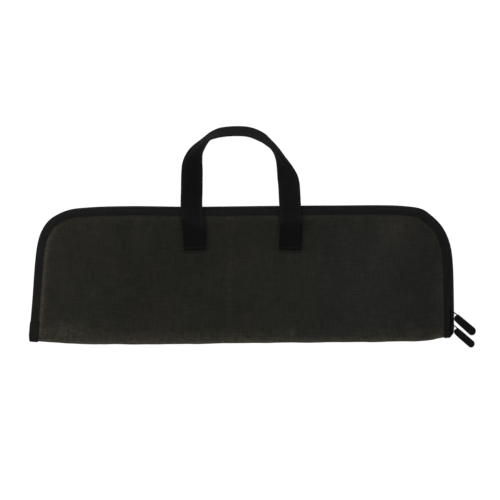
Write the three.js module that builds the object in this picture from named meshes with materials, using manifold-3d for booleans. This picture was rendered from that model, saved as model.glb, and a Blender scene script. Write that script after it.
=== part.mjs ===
// A chef's knife roll: a long, flat waxed canvas case, closed and lying on its back panel.
// Millimetres, +Z up. +X runs along the case, +Y points to the carrying handle.
import * as THREE from "three";
import Module from "manifold-3d";
import { mergeVertices } from "three/addons/utils/BufferGeometryUtils.js";

const wasm = await Module();
wasm.setup();

const gap = 0.3; // clearance between pieces that touch on the real case

// Where the middle of the case's box lies in the drawing below
const boxMiddle = { x: -0.222, y: -0.73 };

// The case's outline in plan, up the left side, along the top and down the right side.
// setback is how far the front panel's bound edge lies inside the back panel's.
const outlineRows = [
  { x: -245.6, y: -108.2, setback: 1.8 },
  { x: -242.2, y: -68.0, setback: 1.8 },
  { x: -239.3, y: -28.3, setback: 1.8 },
  { x: -236.7, y: -8.5, setback: 1.9 },
  { x: -232.7, y: 4.7, setback: 2.1 },
  { x: -225.1, y: 16.5, setback: 2.4 },
  { x: -214.7, y: 23.9, setback: 2.8 },
  { x: -200.9, y: 29.2, setback: 3.3 },
  { x: -178.9, y: 31.7, setback: 3.8 },
  { x: -134.9, y: 33.0, setback: 3.8 },
  { x: -68.9, y: 32.3, setback: 3.8 },
  { x: 8.1, y: 33.1, setback: 3.8 },
  { x: 85.1, y: 33.7, setback: 3.8 },
  { x: 165.0, y: 33.2, setback: 3.8 },
  { x: 187.4, y: 29.3, setback: 3.9 },
  { x: 196.2, y: 21.9, setback: 4.1 },
  { x: 206.1, y: 12.4, setback: 4.3 },
  { x: 212.7, y: 1.5, setback: 4.5 },
  { x: 217.1, y: -11.8, setback: 4.7 },
  { x: 219.6, y: -28.3, setback: 4.9 },
  { x: 221.3, y: -68.0, setback: 5.0 },
  { x: 221.5, y: -103.8, setback: 5.0 },
];
const shoulder = { left: 5, right: 16 }; // the outline rows at the middle of the two upper corners
const stepsPerRow = 2;

// The canvas fold that closes the case along its lower edge
const foldRows = [
  { x: -246.0, y: -115.2 },
  { x: -228.0, y: -116.3 },
  { x: -190.0, y: -117.9 },
  { x: -118.0, y: -118.5 },
  { x: -3.0, y: -117.0 },
  { x: 96.0, y: -116.2 },
  { x: 162.0, y: -115.4 },
  { x: 195.0, y: -114.0 },
  { x: 207.0, y: -111.6 },
  { x: 222.0, y: -110.8 },
];
const fold = { depth: 7.0, steps: 6, squareness: 0.8, samples: 200 };

const body = { thick: 24.0, slimmer: 2.0, top: 33.0, tall: 150.0, wall: 1.8 };
const rim = { lift: 1.7, flat: 18.0, ease: 20.0 }; // the bound edges lie a little clear of the surface below
const wave = { height: 0.5, alongX: 41.0, alongY: 36.0, phase: 0.8 };

const binding = { tape: 1.0, reach: 4.6, endGap: 0.6 };
const tab = { tape: 1.2, reach: 8.0, clear: 0.4, rowsLeft: 1, rowsRight: 0 };
const tapeRounding = 0.6; // the share of a folded tape's thickness that its corners are cut back
const coil = { thick: 2.6, tall: 6.0, rounding: 0.7 };
const zip = { tape: 0.8, hem: 6.0, chainBehindEdge: 0.3, tail: 3.0 };

const slider = { long: 11.0, tall: 8.4, plate: 1.2, firstY: -86.0, pitch: 14.4 };
const sliderCorners = { nose: 0.4, heel: 0.75, height: 0.75 }; // shares of the half length and half height
const lip = { slot: 0.75, from: -0.2, to: 0.37, clear: 0.45 }; // from and to: shares of the slider's length
const post = { from: 2.5, to: 5.0, tall: 2.4 };
const bail = { wide: 1.2, thick: 0.8, low: 2.4, high: 3.7, lug: 1.0, drop: 0.65 };

const pull = { slope: 20.4, aim: -39.2, wire: 1.0, halfNear: 3.8, halfFar: 4.4, long: 32.4, thick: 3.0 };

const tongue = { from: 4.5, to: 10.5, half: 1.5 };

const strap = { wide: 24.0, thick: 1.9, doubled: 3.8, clear: 0.45, stepsPerRow: 2 };
// The handle's middle line. z is left out where it lies on the front panel; twist turns its inner edge up.
const strapRows = [
  { x: -62.8, y: -14.0, twist: 0, layers: 2 },
  { x: -63.6, y: 1.0, twist: 0, layers: 2 },
  { x: -64.4, y: 14.0, twist: 0, layers: 2 },
  { x: -64.8, y: 19.0, z: 25.0, twist: 0, layers: 1 },
  { x: -66.5, y: 34.0, z: 25.0, twist: 0, layers: 1 },
  { x: -66.9, y: 52.0, z: 25.2, twist: 0, layers: 1 },
  { x: -66.9, y: 70.7, z: 24.4, twist: 4, layers: 1 },
  { x: -66.3, y: 81.7, z: 23.0, twist: 17, layers: 1 },
  { x: -63.6, y: 92.2, z: 20.6, twist: 43, layers: 1 },
  { x: -58.8, y: 100.4, z: 18.0, twist: 61, layers: 1 },
  { x: -51.5, y: 107.9, z: 15.4, twist: 75, layers: 1 },
  { x: -43.6, y: 111.6, z: 13.8, twist: 70, layers: 1 },
  { x: -34.8, y: 113.6, z: 13.0, twist: 65, layers: 1 },
  { x: -18.3, y: 114.9, z: 12.6, twist: 64, layers: 1 },
  { x: -2.9, y: 113.6, z: 12.8, twist: 64, layers: 1 },
  { x: 9.2, y: 108.7, z: 13.6, twist: 65, layers: 1 },
  { x: 17.4, y: 102.6, z: 14.8, twist: 71, layers: 1 },
  { x: 25.1, y: 95.5, z: 16.6, twist: 73, layers: 1 },
  { x: 31.7, y: 85.0, z: 19.2, twist: 61, layers: 1 },
  { x: 37.0, y: 71.8, z: 22.0, twist: 39, layers: 1 },
  { x: 39.7, y: 59.7, z: 24.0, twist: 19, layers: 1 },
  { x: 40.6, y: 45.4, z: 25.2, twist: 3, layers: 1 },
  { x: 41.1, y: 34.0, z: 25.0, twist: 0, layers: 1 },
  { x: 41.6, y: 19.0, z: 25.0, twist: 0, layers: 1 },
  { x: 41.5, y: 14.0, twist: 0, layers: 2 },
  { x: 41.1, y: 1.0, twist: 0, layers: 2 },
  { x: 40.5, y: -14.0, twist: 0, layers: 2 },
];

function finish(color, roughness, metalness) {
  return new THREE.MeshStandardMaterial({ color, roughness, metalness });
}

const waxedCanvas = finish(0x34332e, 0.8, 0);
const bindingTape = finish(0x1d1d1e, 0.75, 0);
const webbing = finish(0x151515, 0.75, 0);
const zipTape = finish(0x18181a, 0.85, 0);
const zipCoil = finish(0x1a1a1b, 0.5, 0);
const sliderMetal = finish(0x17171a, 0.4, 0.6);
const pullRubber = finish(0x121212, 0.45, 0);

// Closed meshes from lists of points and triangles, turned so that their faces point out

function volumeOf(points, faces) {
  let sum = 0;
  for (const [a, b, c] of faces) {
    sum += points[a].dot(new THREE.Vector3().crossVectors(points[b], points[c]));
  }
  return sum / 6;
}

function closedGeometry(points, faces) {
  const turned = volumeOf(points, faces) < 0 ? faces.map(([a, b, c]) => [a, c, b]) : faces;
  const geometry = new THREE.BufferGeometry();
  const flat = points.flatMap((p) => [p.x, p.y, p.z]);
  geometry.setAttribute("position", new THREE.Float32BufferAttribute(flat, 3));
  geometry.setIndex(turned.flat());
  return geometry;
}

// A closed wall between an outer and an inner sheet, each a grid of rows of points
function wallGeometry(outer, inner) {
  const rows = outer.length;
  const columns = outer[0].length;
  const points = [...outer.flat(), ...inner.flat()];
  const faces = [];
  const at = (sheet, row, column) => sheet * rows * columns + row * columns + column;
  const quad = (a, b, c, d) => faces.push([a, b, c], [a, c, d]);
  for (let r = 0; r + 1 < rows; r += 1) {
    for (let c = 0; c + 1 < columns; c += 1) {
      quad(at(0, r, c), at(0, r + 1, c), at(0, r + 1, c + 1), at(0, r, c + 1));
      quad(at(1, r, c), at(1, r, c + 1), at(1, r + 1, c + 1), at(1, r + 1, c));
    }
    quad(at(0, r + 1, 0), at(0, r, 0), at(1, r, 0), at(1, r + 1, 0));
    quad(at(0, r, columns - 1), at(0, r + 1, columns - 1), at(1, r + 1, columns - 1), at(1, r, columns - 1));
  }
  for (let c = 0; c + 1 < columns; c += 1) {
    quad(at(0, 0, c), at(0, 0, c + 1), at(1, 0, c + 1), at(1, 0, c));
    quad(at(0, rows - 1, c + 1), at(0, rows - 1, c), at(1, rows - 1, c), at(1, rows - 1, c + 1));
  }
  return closedGeometry(points, faces);
}

// A closed section carried along stations. A station has an origin and two directions, and a section
// is a list of [along the first, along the second] or a function of the station that gives one.
function sweptGeometry(stations, section) {
  const sections = stations.map((s) => (typeof section === "function" ? section(s) : section));
  const sides = sections[0].length;
  const points = stations.flatMap((s, i) =>
    sections[i].map(([a, b]) => s.origin.clone().addScaledVector(s.across, a).addScaledVector(s.up, b)),
  );
  const faces = [];
  for (let i = 0; i + 1 < stations.length; i += 1) {
    for (let k = 0; k < sides; k += 1) {
      const [a, b] = [i * sides + k, i * sides + ((k + 1) % sides)];
      faces.push([a, b, b + sides], [a, b + sides, a + sides]);
    }
  }
  const outline = sections[0].map(([a, b]) => new THREE.Vector2(a, b));
  const anticlockwise = THREE.ShapeUtils.area(outline) > 0;
  const last = (stations.length - 1) * sides;
  for (const [a, b, c] of THREE.ShapeUtils.triangulateShape(outline, [])) {
    const [p, q] = anticlockwise ? [b, c] : [c, b];
    faces.push([a, q, p], [last + a, last + p, last + q]);
  }
  return closedGeometry(points, faces);
}

// Cutting and joining

const weldWithin = 1e-4;

function toSolid(geometry) {
  const bare = geometry.clone();
  bare.deleteAttribute("normal");
  bare.deleteAttribute("uv");
  const merged = mergeVertices(bare, weldWithin);
  return new wasm.Manifold(
    new wasm.Mesh({
      numProp: 3,
      vertProperties: new Float32Array(merged.attributes.position.array),
      triVerts: new Uint32Array(merged.index.array),
    }),
  );
}

function fromSolid(solid) {
  const mesh = solid.getMesh();
  const geometry = new THREE.BufferGeometry();
  geometry.setAttribute("position", new THREE.Float32BufferAttribute(mesh.vertProperties, 3));
  geometry.setIndex(Array.from(mesh.triVerts));
  return geometry;
}

function joined(geometries) {
  return fromSolid(geometries.map(toSolid).reduce((a, b) => a.add(b)));
}

function cut(geometry, tools) {
  return fromSolid(tools.map(toSolid).reduce((left, tool) => left.subtract(tool), toSolid(geometry)));
}

function block(low, high) {
  const size = high.clone().sub(low);
  const middle = low.clone().add(high).multiplyScalar(0.5);
  return new THREE.BoxGeometry(size.x, size.y, size.z).translate(middle.x, middle.y, middle.z);
}

// The case's outline

const outlineCurve = new THREE.CatmullRomCurve3(
  outlineRows.map((r) => new THREE.Vector3(r.x, r.y, r.setback)),
  false,
  "centripetal",
);
const foldCurve = new THREE.CatmullRomCurve3(
  foldRows.map((r) => new THREE.Vector3(r.x, r.y, 0)),
  false,
  "centripetal",
);
const outlineSteps = (outlineRows.length - 1) * stepsPerRow;

// Points along the outline, each with the plan direction into the case and its setback
const outline = Array.from({ length: outlineSteps + 1 }, (_, i) => {
  const at = outlineCurve.getPoint(i / outlineSteps);
  const along = outlineCurve.getTangent(i / outlineSteps).setZ(0).normalize();
  return {
    point: new THREE.Vector3(at.x, at.y, 0),
    along,
    inward: new THREE.Vector3(along.y, -along.x, 0),
    setback: at.z,
  };
});

const foldLine = foldCurve.getSpacedPoints(fold.samples);

function foldY(x) {
  const next = Math.max(1, foldLine.findIndex((p) => p.x >= x));
  const [a, b] = [foldLine[next - 1], foldLine[next]];
  return a.y + ((x - a.x) / (b.x - a.x)) * (b.y - a.y);
}

function thicknessAt(y) {
  return body.thick - body.slimmer * ((body.top - y) / body.tall) ** 2;
}

function distanceTo(edge, x, y) {
  let nearest = Infinity;
  for (let i = 0; i + 1 < edge.length; i += 1) {
    const [a, b] = [edge[i], edge[i + 1]];
    const [dx, dy] = [b.x - a.x, b.y - a.y];
    const t = Math.min(1, Math.max(0, ((x - a.x) * dx + (y - a.y) * dy) / (dx * dx + dy * dy)));
    nearest = Math.min(nearest, Math.hypot(x - a.x - t * dx, y - a.y - t * dy));
  }
  return nearest;
}

function edgeInset(extra) {
  return outline.map((s) => s.point.clone().addScaledVector(s.inward, gap + binding.tape + extra(s)));
}

const frontEdge = edgeInset((s) => s.setback);
const backEdge = edgeInset(() => 0);

function rimShare(edge, x, y) {
  return 1 - THREE.MathUtils.smoothstep(distanceTo(edge, x, y), rim.flat, rim.flat + rim.ease);
}

// The outer face of the front panel, a little uneven away from its rim, and of the back panel
function frontHeight(x, y) {
  const share = rimShare(frontEdge, x, y);
  const uneven = wave.height * Math.sin(x / wave.alongX + wave.phase) * Math.cos(y / wave.alongY);
  return thicknessAt(y) - rim.lift * share + uneven * (1 - share);
}

function backHeight(x, y) {
  return rim.lift * rimShare(backEdge, x, y);
}

// The canvas cover: front panel, fold and back panel in one piece

const sideSteps = shoulder.left * stepsPerRow;
const leftShoulder = shoulder.left * stepsPerRow;
const rightShoulder = shoulder.right * stepsPerRow;
const columnSteps = rightShoulder - leftShoulder;

function shares(points) {
  const lengths = [0];
  for (let i = 1; i < points.length; i += 1) {
    lengths.push(lengths[i - 1] + points[i].distanceTo(points[i - 1]));
  }
  return lengths.map((l) => l / lengths[lengths.length - 1]);
}

// Plan points of one panel between its edge on three sides and the line where the fold starts,
// filled in by adding the spans between opposite sides and taking away the span between corners
function panelPlan(edge) {
  const left = edge.slice(0, leftShoulder + 1).reverse();
  const top = edge.slice(leftShoulder, rightShoulder + 1);
  const right = edge.slice(rightShoulder);
  const across = shares(top);
  const down = shares(left).map((l, i) => (l + shares(right)[i]) / 2);
  const [footLeft, footRight] = [left[sideSteps], right[sideSteps]];
  const off = [footLeft, footRight].map((p) => p.y - foldY(p.x) - fold.depth);
  const bottom = across.map((s) => {
    const x = footLeft.x + (footRight.x - footLeft.x) * s;
    return new THREE.Vector3(x, foldY(x) + fold.depth + off[0] * (1 - s) + off[1] * s, 0);
  });
  return down.map((v, j) =>
    across.map((s, i) => {
      const p = new THREE.Vector3();
      p.addScaledVector(left[j], 1 - s).addScaledVector(right[j], s);
      p.addScaledVector(top[i], 1 - v).addScaledVector(bottom[i], v);
      p.addScaledVector(top[0], -(1 - s) * (1 - v)).addScaledVector(top[columnSteps], -s * (1 - v));
      p.addScaledVector(footLeft, -(1 - s) * v).addScaledVector(footRight, -s * v);
      return p;
    }),
  );
}

function coverOuter() {
  const front = panelPlan(frontEdge).map((row) => row.map((p) => p.setZ(frontHeight(p.x, p.y))));
  const back = panelPlan(backEdge).map((row) => row.map((p) => p.setZ(backHeight(p.x, p.y))));
  const turn = [];
  for (let k = 1; k < fold.steps; k += 1) {
    const angle = (Math.PI * k) / fold.steps;
    const drop = fold.depth * Math.sin(angle) ** fold.squareness;
    const lean = Math.sign(Math.cos(angle)) * Math.abs(Math.cos(angle)) ** fold.squareness;
    turn.push(
      front[sideSteps].map((f, i) => {
        const p = f.clone().lerp(back[sideSteps][i], (1 - lean) / 2);
        return p.setY(p.y - drop);
      }),
    );
  }
  return [...front, ...turn, ...back.reverse()];
}

function sheetNormals(sheet) {
  const rows = sheet.length;
  const columns = sheet[0].length;
  return sheet.map((row, r) =>
    row.map((_, c) => {
      const down = sheet[Math.min(r + 1, rows - 1)][c].clone().sub(sheet[Math.max(r - 1, 0)][c]);
      const along = row[Math.min(c + 1, columns - 1)].clone().sub(row[Math.max(c - 1, 0)]);
      return down.cross(along).normalize();
    }),
  );
}

const outerSheet = coverOuter();
const outerNormals = sheetNormals(outerSheet);
const innerSheet = outerSheet.map((row, r) =>
  row.map((p, c) => p.clone().addScaledVector(outerNormals[r][c], -body.wall)),
);

function canvasCover() {
  return wallGeometry(outerSheet, innerSheet);
}

// The bound edges. A station sits in the middle of the canvas wall at its edge.

const lastRow = outerSheet.length - 1;

function edgeStations(places, inwardSign) {
  const origins = places.map(([r, c]) => outerSheet[r][c].clone().lerp(innerSheet[r][c], 0.5));
  return places.map(([r, c], i) => {
    const before = origins[Math.max(i - 1, 0)];
    const after = origins[Math.min(i + 1, places.length - 1)];
    const along = after.clone().sub(before).normalize();
    const up = outerSheet[r][c].clone().sub(innerSheet[r][c]).normalize();
    const across = along.clone().cross(up).multiplyScalar(inwardSign).normalize();
    return { origin: origins[i], along, across, up };
  });
}

function range(from, to) {
  const step = from < to ? 1 : -1;
  return Array.from({ length: Math.abs(to - from) + 1 }, (_, i) => from + i * step);
}

function bindingStations(topRow, rowAt, inwardSign) {
  const places = [
    ...range(sideSteps - tab.rowsLeft, 1).map((k) => [rowAt(k), 0]),
    ...range(0, columnSteps).map((c) => [topRow, c]),
    ...range(1, sideSteps - tab.rowsRight).map((k) => [rowAt(k), columnSteps]),
  ];
  const stations = edgeStations(places, inwardSign);
  const last = stations[stations.length - 1];
  stations[0].origin.addScaledVector(stations[0].along, binding.endGap);
  last.origin.addScaledVector(last.along, -binding.endGap);
  return stations;
}

const inside = body.wall / 2 + gap;
const bindingSection = (() => {
  const out = inside + binding.tape;
  const back = -gap - binding.tape;
  const soft = binding.tape * tapeRounding;
  return [
    [back, -out + soft],
    [back + soft, -out],
    [binding.reach, -out],
    [binding.reach, -inside],
    [-gap, -inside],
    [-gap, inside],
    [binding.reach, inside],
    [binding.reach, out],
    [back + soft, out],
    [back, out - soft],
  ];
})();

function frontBinding() {
  return sweptGeometry(bindingStations(0, (k) => k, 1), bindingSection);
}

function backBinding() {
  return sweptGeometry(bindingStations(lastRow, (k) => lastRow - k, -1), bindingSection);
}

// A tab of wide tape folded round a lower corner, over the end of the fold
function cornerTab(column, inwardColumns, rows) {
  const places = range(sideSteps - rows, lastRow - sideSteps + rows).map((r) => [r, column]);
  const stations = edgeStations(places, -inwardColumns).map((s, i) => {
    const [r] = places[i];
    if (r <= sideSteps || r >= lastRow - sideSteps) return s;
    const across = outerSheet[r][column + inwardColumns].clone().sub(outerSheet[r][column]);
    return { ...s, across: across.normalize() };
  });
  const inner = body.wall / 2 + tab.clear;
  const out = inner + tab.tape;
  const back = -gap - tab.tape;
  const soft = tab.tape * tapeRounding;
  return sweptGeometry(stations, [
    [back, -body.wall / 2],
    [-gap, -body.wall / 2],
    [-gap, inner],
    [tab.reach, inner],
    [tab.reach, out],
    [back + soft, out],
    [back, out - soft],
  ]);
}

// The zip: two tapes and the closed coil between them, standing round three sides

const zipStations = (() => {
  const stations = outline.map((s) => ({
    origin: s.point
      .clone()
      .addScaledVector(s.inward, s.setback - zip.chainBehindEdge)
      .setZ(thicknessAt(s.point.y) / 2),
    along: s.along,
    across: s.inward,
    up: new THREE.Vector3(0, 0, 1),
  }));
  const longer = (s, sign) => ({ ...s, origin: s.origin.clone().addScaledVector(s.along, sign * zip.tail) });
  return [longer(stations[0], -1), ...stations, longer(stations[stations.length - 1], 1)];
})();

// One tape: from the coil to the bound edge, with its hem flat under that edge
function zipTapeStrip(side) {
  const bound = rim.lift - gap - binding.tape + 2 * (inside + binding.tape) + gap;
  return sweptGeometry(zipStations, (s) => {
    const hem = s.origin.z - bound;
    const start = coil.tall / 2 + gap;
    const half = zip.tape / 2;
    return [
      [-half, side * start],
      [half, side * start],
      [half, side * (hem - zip.tape)],
      [zip.hem, side * (hem - zip.tape)],
      [zip.hem, side * hem],
      [-half, side * hem],
    ];
  });
}

const coilSection = (() => {
  const [a, b] = [coil.thick / 2, coil.tall / 2];
  const soft = coil.rounding;
  return [
    [-a, -b + soft],
    [-a + soft, -b],
    [a - soft, -b],
    [a, -b + soft],
    [a, b - soft],
    [a - soft, b],
    [-a + soft, b],
    [-a, b - soft],
  ];
})();

// The sliders sit on the straight lower stretch of the right side

const sliderYs = [slider.firstY, slider.firstY - slider.pitch];

function chainMiddleAt(y) {
  const at = zipStations.findIndex((s, i) => i > zipStations.length / 2 && s.origin.y <= y);
  const [a, b] = [zipStations[at - 1].origin, zipStations[at].origin];
  return a.clone().lerp(b, (a.y - y) / (a.y - b.y));
}

const channel = coil.thick + 2 * gap;
const sliderThick = channel + 2 * slider.plate;

function postBlock(extra) {
  const reach = channel / 2 + slider.plate / 2;
  return block(
    new THREE.Vector3(-reach, post.from - extra, -post.tall / 2 - extra),
    new THREE.Vector3(reach, post.to + extra, post.tall / 2 + extra),
  );
}

function zipChain() {
  const posts = sliderYs.map((y) => {
    const middle = chainMiddleAt(y);
    return postBlock(gap).translate(middle.x, middle.y, middle.z);
  });
  return cut(sweptGeometry(zipStations, coilSection), posts);
}

function sliderPlate(x) {
  const half = { y: slider.long / 2, z: slider.tall / 2 };
  const corner = half.z * sliderCorners.height;
  const [nose, heel] = [-half.y * sliderCorners.nose, half.y * sliderCorners.heel];
  const shape = new THREE.Shape([
    new THREE.Vector2(-half.y, -corner),
    new THREE.Vector2(nose, -half.z),
    new THREE.Vector2(heel, -half.z),
    new THREE.Vector2(half.y, -corner),
    new THREE.Vector2(half.y, corner),
    new THREE.Vector2(heel, half.z),
    new THREE.Vector2(nose, half.z),
    new THREE.Vector2(-half.y, corner),
  ]);
  const geometry = new THREE.ExtrudeGeometry(shape, { depth: slider.plate, bevelEnabled: false });
  const axes = new THREE.Matrix4().makeBasis(
    new THREE.Vector3(0, 1, 0),
    new THREE.Vector3(0, 0, 1),
    new THREE.Vector3(1, 0, 0),
  );
  return geometry.applyMatrix4(axes).translate(x, 0, 0);
}

// Small lips that turn in from each plate towards the zip tape, leaving a slot for it
function sliderLips() {
  const lips = [];
  for (const x of [-1, 1]) {
    for (const z of [-1, 1]) {
      const xs = [x * lip.slot, x * (channel / 2 + slider.plate / 2)].sort((a, b) => a - b);
      const zs = [z * (coil.tall / 2 + lip.clear), (z * slider.tall) / 2].sort((a, b) => a - b);
      lips.push(
        block(
          new THREE.Vector3(xs[0], slider.long * lip.from, zs[0]),
          new THREE.Vector3(xs[1], slider.long * lip.to, zs[1]),
        ),
      );
    }
  }
  return lips;
}

const hinge = {
  x: sliderThick / 2 + gap + pull.wire / 2,
  z: -bail.drop,
};

// The bail that holds the pull's wire: a plain staple standing on the slider's outer plate
function sliderBail() {
  const face = sliderThick / 2 - slider.plate / 2;
  const near = hinge.x + pull.wire / 2 + gap;
  const far = near + bail.thick;
  const [low, high] = [hinge.z - bail.low, hinge.z + bail.high];
  const piece = (x0, z0, z1) =>
    block(new THREE.Vector3(x0, -bail.wide / 2, z0), new THREE.Vector3(far, bail.wide / 2, z1));
  return [piece(near, low, high), piece(face, low, low + bail.lug), piece(face, high - bail.lug, high)];
}

function zipSlider(y) {
  const middle = chainMiddleAt(y);
  const pieces = [
    sliderPlate(channel / 2),
    sliderPlate(-channel / 2 - slider.plate),
    postBlock(0),
    ...sliderLips(),
    ...sliderBail(),
  ];
  return joined(pieces).translate(middle.x, middle.y, middle.z);
}

// A zip pull: a wire loop round the bail, with a tongue held in a moulded grip.
// It is drawn flat, with x away from the hinge line and y along it.

function flatPlate(points, hole, thick) {
  const shape = new THREE.Shape(points.map(([x, y]) => new THREE.Vector2(x, y)));
  if (hole) shape.holes.push(new THREE.Path(hole.map(([x, y]) => new THREE.Vector2(x, y))));
  const geometry = new THREE.ExtrudeGeometry(shape, { depth: thick, bevelEnabled: false });
  return geometry.translate(0, 0, -thick / 2);
}

const aim = {
  along: new THREE.Vector2(1, 0).rotateAround(new THREE.Vector2(), THREE.MathUtils.degToRad(pull.aim)),
};
aim.across = new THREE.Vector2(-aim.along.y, aim.along.x);

// A flat point from its place along the pull's middle line and its distance above that line
function onPull(along, across) {
  return [
    aim.along.x * along + aim.across.x * across,
    aim.along.y * along + aim.across.y * across,
  ];
}

// Corners of the wire loop, flat. Its bar lies on the hinge line, and its sides close on the tongue.
const loop = {
  top: [-pull.wire / 2, 5.35],
  shoulder: onPull(3.75, pull.halfNear),
  neck: onPull(4.4, 3.1),
  foot: [2.2, -3.9],
  heel: [-pull.wire / 2, -3.9],
};
const loopWindow = {
  top: [pull.wire / 2, 3.2],
  tip: onPull(3.3, 2.65),
  foot: [1.1, -2.9],
  heel: [pull.wire / 2, -2.9],
};

function pullWire() {
  const outer = [
    loop.heel,
    loop.foot,
    onPull(tongue.from, -tongue.half),
    onPull(tongue.to, -tongue.half),
    onPull(tongue.to, tongue.half),
    onPull(tongue.from, tongue.half),
    loop.neck,
    loop.shoulder,
    loop.top,
  ];
  return flatPlate(outer, [loopWindow.top, loopWindow.tip, loopWindow.foot, loopWindow.heel], pull.wire);
}

// The grip: a straight-sided bar with a round far end, cut off square to the bail at its near end
const grip = {
  nearTop: onPull(3.4, pull.halfNear),
  nearMiddle: [1.5, -2.3],
  nearFoot: [1.5, -6.2],
  nearSide: onPull(6.0, -pull.halfNear - 0.1),
  turns: 8,
};

function gripOutline() {
  const points = [grip.nearTop, grip.nearMiddle, grip.nearFoot, grip.nearSide];
  const middle = pull.long - pull.halfFar;
  for (let k = 0; k <= grip.turns; k += 1) {
    const angle = -Math.PI / 2 + (Math.PI * k) / grip.turns;
    points.push(onPull(middle + pull.halfFar * Math.cos(angle), pull.halfFar * Math.sin(angle)));
  }
  return points;
}

// The slot in the grip that takes the wire, with room all round it
const slot = {
  top: [-1, loop.top[1] + 0.55],
  shoulder: onPull(3.9, pull.halfNear + 0.6),
  neck: 4.85,
  side: 4.4,
  foot: [2.4, loop.foot[1] - gap],
  heel: [-1, loop.foot[1] - gap],
};

function pullGrip() {
  const half = tongue.half + gap;
  const end = tongue.to + gap;
  const outer = [
    slot.top,
    slot.shoulder,
    onPull(slot.neck, 3.1),
    onPull(slot.neck, half),
    onPull(end, half),
    onPull(end, -half),
    onPull(slot.side, -half),
    slot.foot,
    slot.heel,
  ];
  const bar = flatPlate(gripOutline(), null, pull.thick);
  return cut(bar, [flatPlate(outer, null, pull.wire + 2 * gap)]);
}

// The handle strap: webbing with both ends turned under and sewn to the front panel

const strapStations = (() => {
  const points = strapRows.map((r) => {
    const thick = r.layers === 2 ? strap.doubled : strap.thick;
    const z = r.z ?? frontHeight(r.x, r.y) + strap.clear + thick / 2;
    return new THREE.Vector3(r.x, r.y, z);
  });
  const turns = strapRows.map((r) => new THREE.Vector3(r.twist, r.layers, 0));
  const path = new THREE.CatmullRomCurve3(points, false, "centripetal");
  const turning = new THREE.CatmullRomCurve3(turns, false, "catmullrom", 0.5);
  const steps = (strapRows.length - 1) * strap.stepsPerRow;
  return range(0, steps).map((i) => {
    const along = path.getTangent(i / steps);
    const { x: twist, y: layers } = turning.getPoint(i / steps);
    const inward = new THREE.Vector3(along.y, -along.x, 0).normalize();
    const facing = inward.clone().cross(along).normalize();
    const angle = THREE.MathUtils.degToRad(twist);
    const across = inward.clone().multiplyScalar(Math.cos(angle)).addScaledVector(facing, Math.sin(angle));
    return {
      origin: path.getPoint(i / steps),
      across,
      up: across.clone().cross(along).normalize(),
      thick: strap.thick + (strap.doubled - strap.thick) * Math.min(1, Math.max(0, layers - 1)),
    };
  });
})();

function handleStrap() {
  const half = strap.wide / 2;
  return sweptGeometry(strapStations, ({ thick }) => [
    [-half, -thick / 2],
    [half, -thick / 2],
    [half, thick / 2],
    [-half, thick / 2],
  ]);
}

const roll = new THREE.Group();
roll.name = "knife_roll";
roll.position.set(-boxMiddle.x, -boxMiddle.y, 0);

function addPiece(parent, name, geometry, material) {
  const mesh = new THREE.Mesh(geometry, material);
  mesh.name = name;
  parent.add(mesh);
}

addPiece(roll, "canvas_cover", canvasCover(), waxedCanvas);
addPiece(roll, "binding_front", frontBinding(), bindingTape);
addPiece(roll, "binding_back", backBinding(), bindingTape);
addPiece(roll, "corner_tab_left", cornerTab(0, 1, tab.rowsLeft), bindingTape);
addPiece(roll, "corner_tab_right", cornerTab(columnSteps, -1, tab.rowsRight), bindingTape);
addPiece(roll, "zip_tape_front", zipTapeStrip(1), zipTape);
addPiece(roll, "zip_tape_back", zipTapeStrip(-1), zipTape);
addPiece(roll, "zip_chain", zipChain(), zipCoil);
addPiece(roll, "handle_strap", handleStrap(), webbing);

["upper", "lower"].forEach((place, i) => {
  const middle = chainMiddleAt(sliderYs[i]);
  addPiece(roll, `zip_slider_${place}`, zipSlider(sliderYs[i]), sliderMetal);
  const hanging = new THREE.Group();
  hanging.position.set(middle.x + hinge.x, middle.y, middle.z + hinge.z);
  hanging.rotation.y = THREE.MathUtils.degToRad(pull.slope);
  addPiece(hanging, `pull_wire_${place}`, pullWire(), sliderMetal);
  addPiece(hanging, `pull_grip_${place}`, pullGrip(), pullRubber);
  roll.add(hanging);
});

export default roll;
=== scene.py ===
import math
import bpy
import numpy as np
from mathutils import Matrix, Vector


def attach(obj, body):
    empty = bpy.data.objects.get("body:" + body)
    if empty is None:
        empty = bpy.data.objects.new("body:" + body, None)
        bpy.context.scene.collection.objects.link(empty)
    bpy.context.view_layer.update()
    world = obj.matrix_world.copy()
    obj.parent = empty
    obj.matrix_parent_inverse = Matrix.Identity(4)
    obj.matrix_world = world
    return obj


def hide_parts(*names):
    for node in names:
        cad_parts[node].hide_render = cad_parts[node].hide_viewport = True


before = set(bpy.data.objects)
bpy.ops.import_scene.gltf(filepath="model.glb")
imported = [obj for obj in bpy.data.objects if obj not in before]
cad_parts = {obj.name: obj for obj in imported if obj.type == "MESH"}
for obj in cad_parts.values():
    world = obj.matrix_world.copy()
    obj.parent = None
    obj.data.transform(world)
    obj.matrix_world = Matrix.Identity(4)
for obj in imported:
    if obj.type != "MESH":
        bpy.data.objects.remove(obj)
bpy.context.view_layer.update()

mm = 0.001
gap = 0.3  # clearance between pieces, as in the solids
bodyMiddle = np.array([-0.222, -0.73, 0.0])  # the middle of the footprint in the drawing that the tables use
print("frame loaded:", len(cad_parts), "nodes")

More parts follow.
